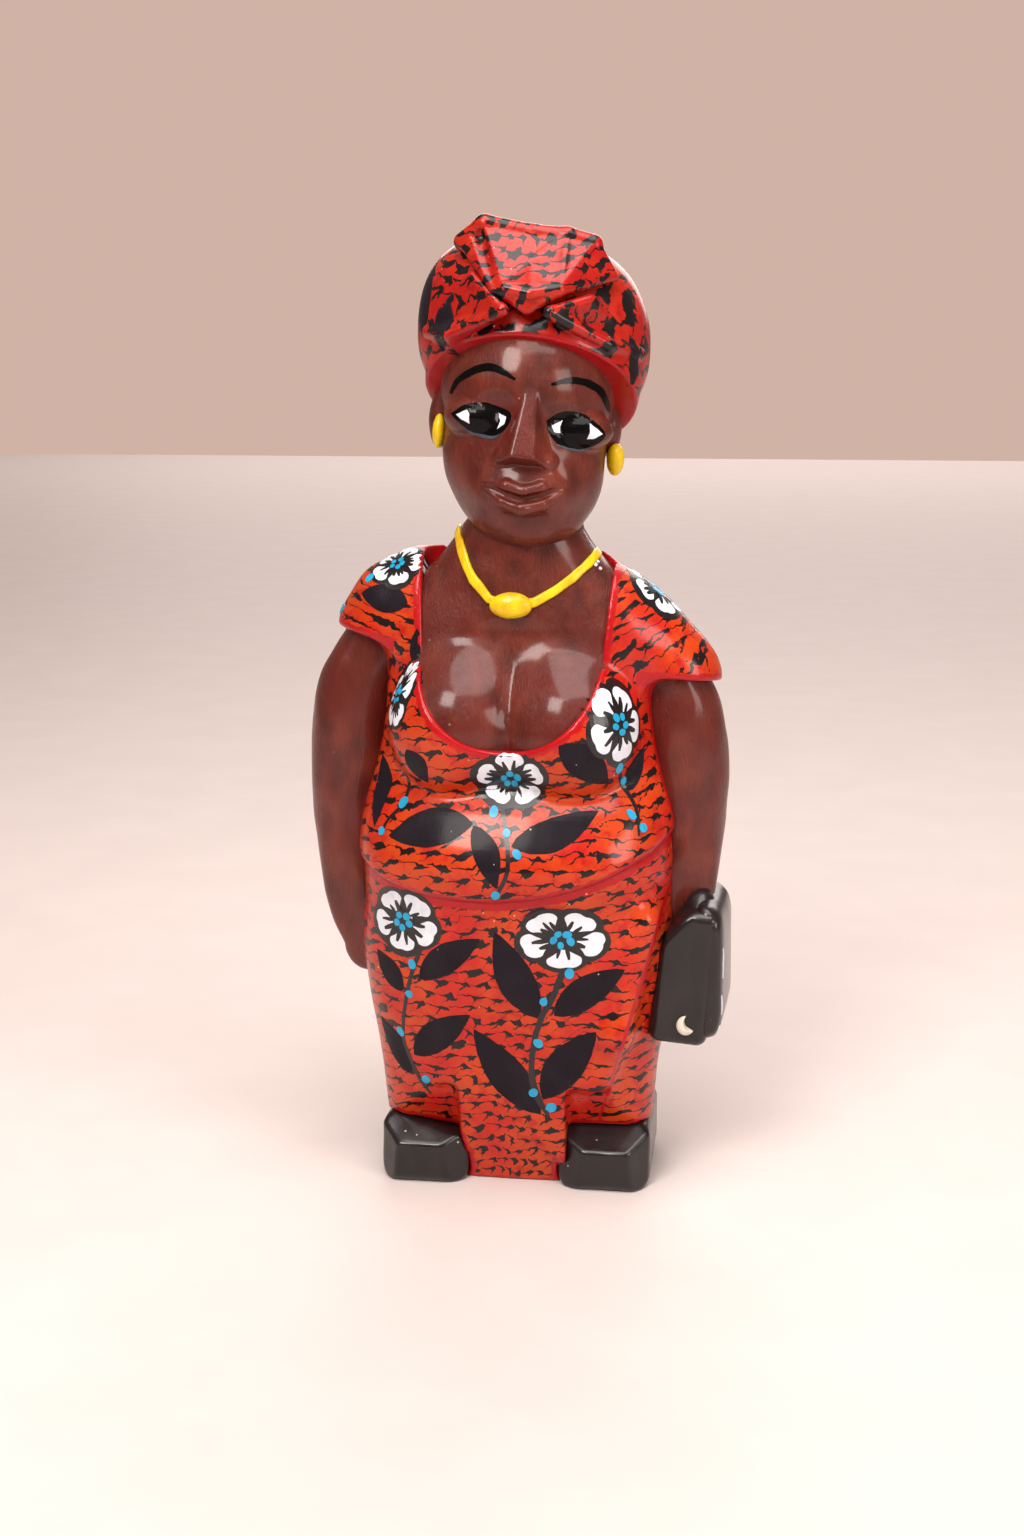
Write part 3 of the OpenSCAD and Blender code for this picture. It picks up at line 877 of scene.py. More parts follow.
def printGroup():
    # Rows of hooked brush strokes: a bar that thickens to a corner, with a leg running down from it
    tree, given, out = nodeGroup("hookPrint", [
        ("Across", "NodeSocketFloat", 0.0),
        ("Up", "NodeSocketFloat", 0.0), ("Cells", "NodeSocketFloat", 38.0),
        ("Row", "NodeSocketFloat", 2.7),
        ("Weight", "NodeSocketFloat", 1.0), ("Vector", "NodeSocketVector", None)],
        [("Stroke", "NodeSocketFloat"), ("Cell", "NodeSocketFloat")])
    v = given.outputs["Vector"]
    wander = maths(tree, "SUBTRACT", noise(tree, v, 0.16, 2), 0.5)
    ripple = maths(tree, "SUBTRACT", noise(tree, v, 0.42, 2), 0.5)
    up = maths(tree, "DIVIDE", given.outputs["Up"], given.outputs["Row"])
    up = maths(tree, "ADD", up, maths(tree, "ADD", maths(tree, "MULTIPLY", wander, 1.5),
                                      maths(tree, "MULTIPLY", ripple, 0.7)))
    row = maths(tree, "FLOOR", up)
    fy = maths(tree, "SUBTRACT", up, row)
    across = maths(tree, "MULTIPLY", given.outputs["Across"], given.outputs["Cells"])
    across = maths(tree, "ADD", across, maths(tree, "MULTIPLY", wander, 1.6))
    across = maths(tree, "ADD", across, maths(tree, "MULTIPLY", row, 0.47))
    column = maths(tree, "FLOOR", across)
    fx = maths(tree, "SUBTRACT", across, column)
    dice = tree.nodes.new("ShaderNodeTexWhiteNoise")
    dice.noise_dimensions = "2D"
    feed(tree, dice.inputs["Vector"],
         coords(tree, maths(tree, "FLOORED_MODULO", column, given.outputs["Cells"]), row))
    split = tree.nodes.new("ShaderNodeSeparateColor")
    feed(tree, split.inputs[0], dice.outputs["Color"])
    one, two, three = split.outputs[0], split.outputs[1], split.outputs[2]
    corner = maths(tree, "ADD", 0.66, maths(tree, "MULTIPLY", one, 0.2))
    tilt = maths(tree, "MULTIPLY", maths(tree, "SUBTRACT", two, 0.65), 0.6)
    middle = maths(tree, "ADD", 0.7, maths(tree, "MULTIPLY", maths(tree, "SUBTRACT", fx, corner), tilt))
    rise = maths(tree, "POWER", maths(tree, "DIVIDE", fx, corner, clamp=True), 2.4)
    fall = remap(tree, fx, corner, 1.0, 1.0, 0.0, smooth=False)
    fat = maths(tree, "MULTIPLY", maths(tree, "MULTIPLY", rise, fall),
                maths(tree, "ADD", 0.12, maths(tree, "MULTIPLY", three, 0.16)))
    fat = maths(tree, "MULTIPLY", maths(tree, "ADD", fat, 0.035), given.outputs["Weight"])
    bar = maths(tree, "SUBTRACT", fat, maths(tree, "ABSOLUTE", maths(tree, "SUBTRACT", fy, middle)))
    # the leg, from the corner down and to the left
    lean = maths(tree, "ADD", 0.5, maths(tree, "MULTIPLY", two, 0.35))
    down = maths(tree, "SUBTRACT", 0.7, fy)
    spine = maths(tree, "SUBTRACT", corner, maths(tree, "MULTIPLY", down, lean))
    legFat = maths(tree, "MULTIPLY", remap(tree, down, 0.0, 0.5, 0.13, 0.005, smooth=False),
                   given.outputs["Weight"])
    leg = maths(tree, "SUBTRACT", legFat, maths(tree, "ABSOLUTE", maths(tree, "SUBTRACT", fx, spine)))
    legOn = maths(tree, "GREATER_THAN", down, -0.05)
    leg = maths(tree, "SUBTRACT", maths(tree, "MULTIPLY", leg, 0.6),
                maths(tree, "MULTIPLY", maths(tree, "SUBTRACT", 1.0, legOn), 1.0))
    rag = maths(tree, "MULTIPLY", maths(tree, "SUBTRACT", noise(tree, v, 1.6, 2), 0.5), 0.09)
    stroke = maths(tree, "ADD", maths(tree, "MAXIMUM", bar, leg), rag)
    feed(tree, out.inputs["Stroke"], remap(tree, stroke, -0.012, 0.012))
    feed(tree, out.inputs["Cell"], three)
    return tree


wear = wearGroup()
knife = carvedGroup()
hooks = printGroup()


def newMaterial(name):
    material = bpy.data.materials.new(name)
    material.use_nodes = True
    tree = material.node_tree
    shader = tree.nodes["Principled BSDF"]
    place = tree.nodes.new("ShaderNodeTexCoord")
    return material, tree, shader, scaled(tree, place.outputs["Object"], (1000, 1000, 1000))


def useGroup(tree, group, **values):
    node = tree.nodes.new("ShaderNodeGroup")
    node.node_tree = group
    for label, value in values.items():
        feed(tree, node.inputs[label], value)
    return node


def bump(tree, shader, height, distance, strength=1.0):
    node = tree.nodes.new("ShaderNodeBump")
    feed(tree, node.inputs["Height"], height)
    node.inputs["Distance"].default_value = distance
    node.inputs["Strength"].default_value = strength
    tree.links.new(node.outputs[0], shader.inputs["Normal"])


def gloss(shader, coat, coatRough, sheen=0.15):
    shader.inputs["Coat Weight"].default_value = coat
    shader.inputs["Coat Roughness"].default_value = coatRough
    shader.inputs["Specular IOR Level"].default_value = sheen


def clothMaterial(name, look):
    material, tree, shader, v = newMaterial(name)
    parts = tree.nodes.new("ShaderNodeSeparateXYZ")
    feed(tree, parts.inputs[0], v)
    x, y, z = parts.outputs
    turn = maths(tree, "DIVIDE", maths(tree, "ARCTAN2", x, maths(tree, "MULTIPLY", y, -1.0)), math.tau)
    reach = maths(tree, "SQRT",
                  maths(tree, "ADD", maths(tree, "POWER", x, 2.0), maths(tree, "POWER", y, 2.0)))
    slope = maths(tree, "MULTIPLY",
                  maths(tree, "MAXIMUM", maths(tree, "SUBTRACT", reach, look["shoulderFrom"]),
                        0.0), look["shoulderFall"])
    up = maths(tree, "SUBTRACT", z,
               maths(tree, "MULTIPLY", slope, remap(tree, z, look["slopeFrom"], look["slopeFrom"] + 18)))
    strokes = useGroup(tree, hooks, Across=turn, Up=up, Cells=look["cells"], Row=look["row"],
                       Weight=look["weight"], Vector=v)
    ground = blend(tree, remap(tree, noise(tree, v, 0.07, 3), 0.4, 0.6), look["ground"], look["orange"])
    ground = blend(tree, remap(tree, noise(tree, v, 0.33, 3), 0.5, 0.72), ground, look["red"])
    ground = blend(tree, maths(tree, "MULTIPLY", strokes.outputs["Cell"], 0.35), ground, look["orange"])
    edge = tree.nodes.new("ShaderNodeAttribute")
    edge.attribute_name = "edge"
    ragged = maths(tree, "ADD", edge.outputs["Fac"],
                   maths(tree, "MULTIPLY", maths(tree, "SUBTRACT", noise(tree, v, 0.5, 2), 0.5), 1.6))
    inside = remap(tree, ragged, look["band"], look["band"] + 0.5)
    colour = blend(tree, inside, look["crimson"], ground)
    colour = blend(tree, maths(tree, "MULTIPLY", strokes.outputs["Stroke"], inside), colour, look["black"])
    aged = useGroup(tree, wear, Vector=v, Paint=colour, Under=look["under"], Chips=look["chips"],
                    Specks=look["specks"], Dirt=0.5)
    tree.links.new(aged.outputs["Color"], shader.inputs["Base Color"])
    feed(tree, shader.inputs["Roughness"], maths(tree, "ADD", aged.outputs["Roughness"], look["rough"]))
    marks = useGroup(tree, knife, Vector=v, Size=0.22, Hairs=0.35)
    bump(tree, shader, maths(tree, "ADD", marks.outputs["Height"],
                             maths(tree, "MULTIPLY", aged.outputs["Height"], 0.3)), look["relief"])
    gloss(shader, look["coat"], 0.16)
    return material


def paintMaterial(name, look):
    material, tree, shader, v = newMaterial(name)
    marks = useGroup(tree, knife, Vector=v, Size=look["knife"], Hairs=look["hairs"])
    tone = remap(tree, marks.outputs["Tone"], 0.25, 0.85)
    colour = blend(tree, tone, look["dark"], look["light"])
    colour = blend(tree, remap(tree, noise(tree, v, 0.06, 3), 0.42, 0.62), colour, look["other"])
    aged = useGroup(tree, wear, Vector=v, Paint=colour, Under=look["under"], Chips=look["chips"],
                    Specks=look["specks"], Dirt=look["dirt"])
    tree.links.new(aged.outputs["Color"], shader.inputs["Base Color"])
    feed(tree, shader.inputs["Roughness"], maths(tree, "ADD", aged.outputs["Roughness"], look["rough"]))
    bump(tree, shader, maths(tree, "ADD", marks.outputs["Height"],
                             maths(tree, "MULTIPLY", aged.outputs["Height"], 0.3)), look["relief"])
    gloss(shader, look["coat"], look["coatRough"], look.get("sheen", 0.2))
    return material


dressLook = {"cells": 30.0, "row": 3.1, "weight": 1.0, "shoulderFrom": 22.0, "shoulderFall": 0.55,
             "slopeFrom": 112.0,
             "ground": (0.5, 0.012, 0.004, 1),
             "orange": (0.54, 0.05, 0.005, 1), "red": (0.42, 0.004, 0.005, 1),
             "crimson": (0.42, 0.003, 0.006, 1),
             "black": (0.007, 0.005, 0.006, 1), "under": (0.75, 0.35, 0.22, 1),
             "band": 1.3, "chips": 0.12, "specks": 0.12, "rough": 0.24, "relief": 0.00022, "coat": 0.45}
wrapLook = dict(dressLook, cells=21.0, row=4.0, weight=1.45, band=0.2, shoulderFrom=12.0, shoulderFall=0.8,
                slopeFrom=190.0,
                ground=(0.37, 0.006, 0.005, 1), orange=(0.46, 0.018, 0.005, 1), red=(0.3, 0.003, 0.005, 1),
                crimson=(0.36, 0.003, 0.005, 1))
skinLook = {"knife": 0.2, "hairs": 0.55, "dark": (0.07, 0.009, 0.005, 1), "light": (0.165, 0.026, 0.014, 1),
            "other": (0.115, 0.014, 0.009, 1),
            "under": (0.36, 0.13, 0.09, 1), "chips": 0.08, "specks": 0.14,
            "dirt": 0.6, "rough": 0.26, "relief": 0.0005, "coat": 0.45, "coatRough": 0.15}
blackLook = {"knife": 0.16, "hairs": 0.3, "dark": (0.004, 0.003, 0.0035, 1),
             "light": (0.013, 0.01, 0.011, 1),
             "other": (0.008, 0.006, 0.007, 1), "under": (0.55, 0.5, 0.45, 1), "chips": 0.12, "specks": 0.3,
             "dirt": 0.3, "rough": 0.24, "relief": 0.0003, "coat": 0.65, "coatRough": 0.16}
yellowLook = {"knife": 0.4, "hairs": 0.4, "dark": (0.72, 0.42, 0.004, 1), "light": (0.92, 0.66, 0.01, 1),
              "other": (0.85, 0.58, 0.008, 1), "under": (0.3, 0.08, 0.03, 1), "chips": 0.1, "specks": 0.1,
              "dirt": 0.4, "rough": 0.25, "relief": 0.0001, "coat": 0.4, "coatRough": 0.2}
creamLook = dict(yellowLook, dark=(0.6, 0.52, 0.4, 1), light=(0.8, 0.76, 0.66, 1),
                 other=(0.7, 0.64, 0.52, 1))
paints = {"dress": clothMaterial("dressPaint", dressLook), "wrap": clothMaterial("wrapPaint", wrapLook),
          "skin": paintMaterial("skinPaint", skinLook), "black": paintMaterial("blackPaint", blackLook),
          "yellow": paintMaterial("yellowPaint",
                                  yellowLook), "cream": paintMaterial("creamPaint", creamLook)}
pieceOfPaint = {"dress": ("skirtCloth", "dressCloth"), "wrap": ("wrapBand", "wrapCrown", "wrapKnot"),
                "skin": ("bareChest", "rightArm", "leftArm", "faceSkin"),
                "black": ("rightShoe", "leftShoe", "bagBody", "bagFlap", "bagStrap"),
                "cream": ("claspMark",),
                "yellow": ("necklaceBand", "pendantBead", "chokerLine", "rightEarring", "leftEarring")}
for paint, names in pieceOfPaint.items():
    for name in names:
        carved[name].data.materials.clear()
        carved[name].data.materials.append(paints[paint])
print("paint mixed")

# ---- Painted flowers, leaves, stems, eyes and brows ----
# Many points below began as readings that scratch programs took from marks on the photograph, which the
# brief rules out. report.md says which ones.

def paintPlane(at, azimuth, rise=0.0, onHead=False):
    # Origin, right, up and outward directions of the flat sheet a motif is drawn on
    a, e = math.radians(azimuth), math.radians(rise)
    outward = Vector((math.sin(a) * math.cos(e), -math.cos(a) * math.cos(e), math.sin(e)))
    right = Vector((math.cos(a), math.sin(a), 0))
    if onHead:
        tip = Vector(headToFigure((at[0] + outward.x, at[1] + outward.y, at[2] + outward.z)))
        side = Vector(headToFigure((at[0] + right.x, at[1] + right.y, at[2] + right.z)))
        at = Vector(headToFigure(at))
        outward, right = tip - at, side - at
    return Vector(at), right, outward.cross(right), outward


def oval(cx, cz, rx, rz, count=14, turn=0.0):
    t = math.radians(turn)
    ring = [(rx * math.cos(math.tau * i / count),
             rz * math.sin(math.tau * i / count)) for i in range(count)]
    return [(cx + a * math.cos(t) - b * math.sin(t), cz + a * math.sin(t) + b * math.cos(t))
            for a, b in ring]


def smoothLine(points, parts=6):
    # Catmull-Rom curve through the points; every value a point carries is carried along
    ends = [tuple(2 * u - v for u, v in zip(points[0], points[1]))] + list(points)
    ends.append(tuple(2 * u - v for u, v in zip(points[-1], points[-2])))
    out = []
    for i in range(len(points) - 1):
        a, b, c, d = ends[i:i + 4]
        for k in range(parts):
            t = k / parts
            out.append(tuple(0.5 * (2 * q + (r - p) * t + (2 * p - 5 * q + 4 * r - s) * t * t
                                    + (3 * q - p - 3 * r + s) * t ** 3)
                             for p, q, r, s in zip(a, b, c, d)))
    return out + [tuple(points[-1])]


def brushStroke(points, parts=6):
    # Outline of a stroke through (across, up, half width)
    line = smoothLine(points, parts)
    left, right = [], []
    for i, (x, z, w) in enumerate(line):
        a, b = line[max(i - 1, 0)], line[min(i + 1, len(line) - 1)]
        dx, dz = b[0] - a[0], b[1] - a[1]
        size = math.hypot(dx, dz) or 1
        w = max(w, 0.03)
        left.append((x - dz / size * w, z + dx / size * w))
        right.append((x + dz / size * w, z - dx / size * w))
    return left + right[::-1]


def leafShape(base, tip, wide, bend=0.0):
    steps = 14
    dx, dz = tip[0] - base[0], tip[1] - base[1]
    size = math.hypot(dx, dz)
    ux, uz = dx / size, dz / size
    upper, lower = [], []
    for i in range(steps + 1):
        t = i / steps
        w = wide / 2 * (math.sin(math.pi * t ** 0.85) ** 0.85) + 0.04
        mid = bend * math.sin(math.pi * t)
        px, pz = base[0] + dx * t - uz * mid, base[1] + dz * t + ux * mid
        upper.append((px - uz * w, pz + ux * w))
        lower.append((px + uz * w, pz - ux * w))
    return upper + lower[::-1]


coats = {}


def lay(target, colour, outline, sheet, lift, spacing=0.8, standOff=40.0):
    # A closed slab of paint the shape of the outline, still flat and in front of the wood
    xs, zs = [q[0] for q in outline], [q[1] for q in outline]
    inner = []
    z = min(zs) + spacing / 2
    while z < max(zs):
        x = min(xs) + spacing / 2
        while x < max(xs):
            inner.append((x, z))
            x += spacing
        z += spacing
    loop = []
    for i, a in enumerate(outline):
        b = outline[(i + 1) % len(outline)]
        parts = max(1, round(math.dist(a, b) / spacing))
        loop += [(a[0] + (b[0] - a[0]) * k / parts, a[1] + (b[1] - a[1]) * k / parts) for k in range(parts)]
    keep = [q for q in inner if min(math.dist(q, e) for e in loop) > spacing * 0.4]
    flat = [Vector(q) for q in loop + keep]
    ring = [(i, (i + 1) % len(loop)) for i in range(len(loop))]
    points, edges, faces = geometry.delaunay_2d_cdt(flat, ring, [], 1, 1e-4)[:3]
    coat = coats.setdefault((target, colour), {"points": [], "faces": [], "lift": [], "aim": []})
    at, right, up, outward = sheet
    base, count = len(coat["points"]), len(points)
    for level in (lift, -0.12):
        for q in points:
            coat["points"].append(at + right * q.x + up * q.y + outward * standOff)
            coat["lift"].append(level)
            coat["aim"].append(-outward)
    used = {}
    for f in faces:
        area = sum(points[f[i]].x * points[f[(i + 1) % 3]].y
                   - points[f[(i + 1) % 3]].x * points[f[i]].y for i in range(3))
        f = list(f) if area > 0 else list(f)[::-1]
        coat["faces"].append([base + i for i in f])
        coat["faces"].append([base + count + i for i in reversed(f)])
        for a, b in zip(f, f[1:] + f[:1]):
            used[(a, b)] = True
    for a, b in used:
        if (b, a) not in used:
            coat["faces"].append([base + b, base + a, base + count + a, base + count + b])


def flower(target, sheet, centre, rx, rz, turn=90.0, petals=5, seed=1):
    dice = random.Random(seed)
    cx, cz = centre

    def polar(radius, degrees):
        return (cx + rx * radius * math.cos(math.radians(degrees)),
                cz + rz * radius * math.sin(math.radians(degrees)))
    step = 360 / petals
    rim = []
    for i in range(60):
        angle = i * 6
        lobe = abs(math.cos(math.radians((angle - turn) * petals / 2)))
        rim.append(polar(1.0 + 0.17 * lobe ** 0.6, angle))
    lay(target, "black", rim, sheet, 0.08)
    for k in range(petals):
        middle = turn + k * step + dice.uniform(-4, 4)
        long = dice.uniform(0.95, 1.03)
        spread = step / 2 - 4.5
        shape = [polar(0.34, middle - 8)]
        for t, radius in ((-0.82, 0.6), (-1, 0.8), (-0.72, 0.96), (-0.3, 1.0), (0.05, 0.97), (0.35, 1.0),
                          (0.74, 0.95), (1, 0.78), (0.82, 0.58)):
            shape.append(polar(radius * long, middle + t * spread))
        shape.append(polar(0.34, middle + 8))
        shape = smoothLine(shape, 3)
        lay(target, "white", shape, sheet, 0.14)
        for t in dice.choice([(-0.42, 0.4), (-0.36, 0.46), (-0.5, 0.02, 0.52)]):
            reach = dice.uniform(0.6, 0.78)
            a, b = middle + t * spread * 1.1, middle + (t + dice.uniform(-0.12, 0.12)) * spread
            half = dice.uniform(0.4, 0.62) * min(rx, rz) / 7
            lay(target, "black",
                brushStroke([(*polar(0.3, a), half * 0.8), (*polar((0.3 + reach) / 2, (a + b) / 2), half),
                             (*polar(reach, b), half * 0.5)], 3), sheet, 0.19)
    lay(target, "black", oval(cx, cz, rx * 0.36, rz * 0.36), sheet, 0.19)
    for k in range(5):
        a = math.radians(turn + 72 * k + dice.uniform(-12, 12))
        x, z, size = cx + rx * 0.21 * math.cos(a), cz + rz * 0.21 * math.sin(a), dice.uniform(0.095, 0.12)
        lay(target, "blue", oval(x, z, rx * size, rz * size * 1.1, 10, 30 * k), sheet, 0.26, 0.5)


def dots(target, sheet, places, size=1.0, colour="blue"):
    for k, (x, z) in enumerate(places):
        lay(target, colour, oval(x, z, size * (1 + 0.12 * math.sin(5 * k)),
                                 size * (1.1 + 0.12 * math.cos(3 * k)), 12, 20 * k), sheet, 0.24, 0.6)


# Leaf-shaped patches in the dark leaf paint; on the headwrap band they are painted shade
def leaves(target, sheet, rows):
    for base, tip, wide, bend in rows:
        lay(target, "leaf", leafShape(base, tip, wide, bend), sheet, 0.07)


# each flower's target, sheet origin, azimuth, rise, centre on that sheet, half width, half height, turn
flowers = [
    ("dressCloth", (0, 0, 0), 0, 0, (0.6, 98.9), 7.7, 6.2, 92),
    ("dressCloth", (0, 0, 0), 48, 0, (1.2, 111.4), 7.5, 8.4, 60),
    ("dressCloth", (0, 0, 0), -50, 0, (-2.8, 116.2), 4.9, 7, 98),
    ("dressCloth", (-27, -4, 143), -25, 50, (0, 0), 6.2, 5.6, 80),
    ("dressCloth", (30.4, 0.6, 138), 66, 52, (0, 0), 7.2, 7.4, 100),
    ("skirtCloth", (0, 0, 0), -24, 0, (-13.3, 65.3), 8.3, 7.3, 52),
    ("skirtCloth", (0, 0, 0), 6, 0, (9.8, 63.3), 9.4, 6.8, 55)]
for k, (target, at, azimuth, rise, centre, rx, rz, turn) in enumerate(flowers):
    flower(target, paintPlane(at, azimuth, rise), centre, rx, rz, turn, seed=k + 3)

middle = paintPlane((0, 0, 0), 0)
leaves("dressCloth", middle, [((-7.2, 88.8), (-1.8, 75.6), 5.6, 0.8)])
leaves("dressCloth", paintPlane((0, 0, 0), -18), [((0.4, 89.2), (-19, 85), 8, -0.6)])
leaves("dressCloth", paintPlane((0, 0, 0), 8), [((-2.4, 84.8), (16.8, 92), 6.6, -0.8)])
leaves("dressCloth", paintPlane((0, 0, 0), -32), [((-7.2, 105), (-3.6, 97.6), 6, 0.5)])
leaves("dressCloth", paintPlane((0, 0, 0), 18), [((3, 107.5), (14.6, 98), 7.6, 0.6)])
leaves("dressCloth", paintPlane((0, 0, 0), 50), [((4.8, 95.6), (10.7, 104.4), 4.6, 0.4)])
leaves("dressCloth", paintPlane((0, 0, 0), -58), [((-8.5, 101), (-1.5, 86), 5.2, 0.8)])
leaves("dressCloth", paintPlane((-29.5, -8, 136.5), -25, 25), [((6, -0.6), (-6, 0.4), 6.4, 0)])
leaves("dressCloth", paintPlane((-22.4, -13, 126), -20, 5), [((0.6, -4), (0.4, 4.5), 3.4, 0)])

# broad dark patches on the headwrap: the two on the band's side facets are painted shade, the one on the
# crown is a leaf of the print
leaves("wrapBand", paintPlane((0, 0, 0), -64, onHead=True), [((1, 189), (-2, 203), 6, 0.6)])
leaves("wrapCrown", paintPlane((0, 0, 0), -80, onHead=True), [((-3, 193), (-8, 210), 6, -1)])
leaves("wrapBand", paintPlane((0, 0, 0), 66, onHead=True), [((2, 184.5), (3, 196), 4.2, -0.6)])

leftPlant = paintPlane((0, 0, 0), -22)
leaves("skirtCloth", leftPlant,
       [((-15.8, 48), (-22.6, 57), 5.6, -0.4), ((-10.8, 52), (3.6, 62.8), 6.6, 0.5),
        ((-16.6, 26.6), (-24, 39.6), 6.2, -0.5), ((-14.8, 32), (0, 44), 7, 0.5)])
leftStem = [(-9.8, 60, 0.55), (-12.4, 53.7, 0.5), (-14.6, 47.6, 0.45), (-17.2, 37, 0.4), (-16, 30.5, 0.45),
            (-14.1, 25.6, 0.5), (-12.8, 21.6, 0.25)]
lay("skirtCloth", "black", brushStroke(leftStem), leftPlant, 0.1)
dots("skirtCloth", leftPlant, [(-12.4, 55.3), (-14, 47.7), (-17.8, 37.4), (-12.6, 25.9)])

rightPlant = paintPlane((0, 0, 0), 6)
leaves("skirtCloth", rightPlant, [((4.4, 44), (-5.2, 64.6), 8.4, 0.6), ((8, 44.8), (23.8, 56), 7.6, 0.6),
                                  ((5, 18.8), (-10.2, 40.4), 8.8, 0.4), ((5.6, 23), (17.6, 41), 8.6, 0.8)])
rightStem = [(10.4, 57, 0.75), (7.8, 49.5, 0.7), (5.3, 44.4, 0.7), (3.5, 37.4, 0.65), (3, 29.4, 0.7),
             (4.4, 23.3, 0.8), (7, 18, 0.35)]
lay("skirtCloth", "black", brushStroke(rightStem), rightPlant, 0.1)
dots("skirtCloth", rightPlant, [(11.4, 55.2), (5.7, 48.2), (4.5, 37.6), (3.4, 24.6), (7.5, 20.8)], 1.05)

lay("dressCloth", "black",
    brushStroke([(-1.3, 92.6, 0.4), (-0.1, 87.8, 0.5), (0.8, 82.4, 0.5), (0.3, 78.2, 0.45),
                 (-1.9, 73.6, 0.5)]), middle, 0.1)
dots("dressCloth", middle, [(-3, 91.6), (0.1, 87.5), (2.7, 83.3), (-2, 74)])
besideStem = paintPlane((0, 0, 0), 42)
lay("dressCloth", "black",
    brushStroke([(3.9, 103, 0.45), (7.9, 96.8, 0.5), (9.4, 91.9, 0.45), (8.4, 86.3, 0.3)]), besideStem, 0.1)
dots("dressCloth", besideStem, [(5.1, 101.5), (8, 97.9), (7.8, 90.8), (9.9, 87.8)])
farStem = paintPlane((0, 0, 0), -35)
lay("dressCloth", "black", brushStroke([(-9.6, 98.5, 0.4), (-8.7, 92.1, 0.4), (-11.2, 88.5, 0.35),
                                        (-12.6, 85, 0.3)]), farStem, 0.1)
dots("dressCloth", farStem, [(-8.7, 92.2), (-12.4, 85.6)])
dots("dressCloth", paintPlane((-34, -5, 140), -34, 35), [(0.4, 0.6)])
dots("dressCloth", paintPlane((-40, -2, 133), -70, 10), [(-1, 0)])

# on the face's flat sheet, as (across, up): each eye's almond outline, whites, iris, and a slate stroke of
# painted sheen along the lower rim
eyes = {
    -1: {"almond": [(-16.9, 176.9), (-14.2, 178.8), (-10.4, 179.6), (-6.8, 179), (-4, 177.6),
                    (-4.9, 174.6), (-8, 172.5), (-12.2, 173.3), (-15.2, 175.2)],
         "whites": [[(-16.1, 176.9), (-13.4, 178.3), (-12.4, 176.6), (-12.7, 174.7), (-14.6, 175.6)],
                    [(-7.2, 178.2), (-4.7, 177.2), (-5.2, 175.2), (-6.9, 173.7), (-6.2, 176)]],
         "iris": (-9.7, 176.3, 3.3, 3.4), "lidSheen": [(-13.6, 173.8, 0.12), (-11.2, 172.8, 0.3),
                                                  (-7.8, 172.5, 0.3), (-6, 173.2, 0.12)]},
    1: {"almond": [(3.7, 176.6), (6.3, 178.3), (9.5, 178.7), (13, 177.5), (16.6, 174.2), (14.3, 171.8),
                   (11, 170.4), (7, 171.4), (4.3, 173.9)],
        "whites": [[(4.6, 175.6), (7.2, 177.3), (6.7, 175.4), (7.2, 173.8), (5.4, 173.9)],
                   [(12.7, 176.8), (14.6, 175.6), (16.1, 174.2), (14.2, 173), (12.3, 172.7), (13, 174.6)]],
        "iris": (9.6, 174.8, 3, 3.3), "lidSheen": [(6.2, 171.6, 0.12), (8.8, 170.8, 0.25), (11.4, 170.6, 0.25),
                                              (13.6, 171.4, 0.12)]}}
for side, eye in eyes.items():
    sheet = paintPlane((0, 0, 0), 0, onHead=True)
    lay("faceSkin", "iris", smoothLine(eye["almond"] + eye["almond"][:1], 4)[:-1], sheet, 0.08, 0.6)
    for white in eye["whites"]:
        mx, mz = sum(q[0] for q in white) / len(white), sum(q[1] for q in white) / len(white)
        small = [(mx + (q[0] - mx) * 0.86, mz + (q[1] - mz) * 0.8) for q in white]
        lay("faceSkin", "white", small, sheet, 0.14, 0.5)
    x, z, rx, rz = eye["iris"]
    lay("faceSkin", "iris", oval(x, z, rx, rz, 20), sheet, 0.18, 0.6)
    # painted sheen: a bluish slate stroke over the almond's lower rim
    lay("faceSkin", "slate", brushStroke(eye["lidSheen"], 4), sheet, 0.13, 0.5)
brows = [[(-17.4, 181, 0.3), (-15.7, 184, 0.6), (-11.9, 186.4, 0.8), (-8, 187, 0.8), (-3.4, 184.9, 0.3)],
         [(4.2, 184.2, 0.3), (9, 185.3, 0.7), (13.8, 184.1, 0.75), (16.2, 181.5, 0.65), (17.3, 178.8, 0.3)]]
for brow in brows:
    lay("faceSkin", "iris", brushStroke(brow, 5), paintPlane((0, 0, 0), 0, onHead=True), 0.1, 0.6)
dots("bareChest", paintPlane((17.8, -8, 144.4), 15, 30), [(0, 0.8), (1.1, 0), (0.6, 1.9)], 0.4, "white")
# painted highlights: white strokes along the outer corner of the bag
corner = paintPlane((47.8, -12.8, 50), 45)
for highlightStroke in ([(0.3, 9, 0.2), (0.5, 6, 0.35), (0.4, 2, 0.25)],
             [(-0.2, -2, 0.2), (0.2, -4.5, 0.35), (0, -6.5, 0.2)],
             [(-0.4, -9, 0.2), (-0.8, -10.6, 0.3), (-1.2, -12, 0.15)]):
    lay("bagFlap", "white", brushStroke(highlightStroke, 3), corner, 0.12, 0.5)


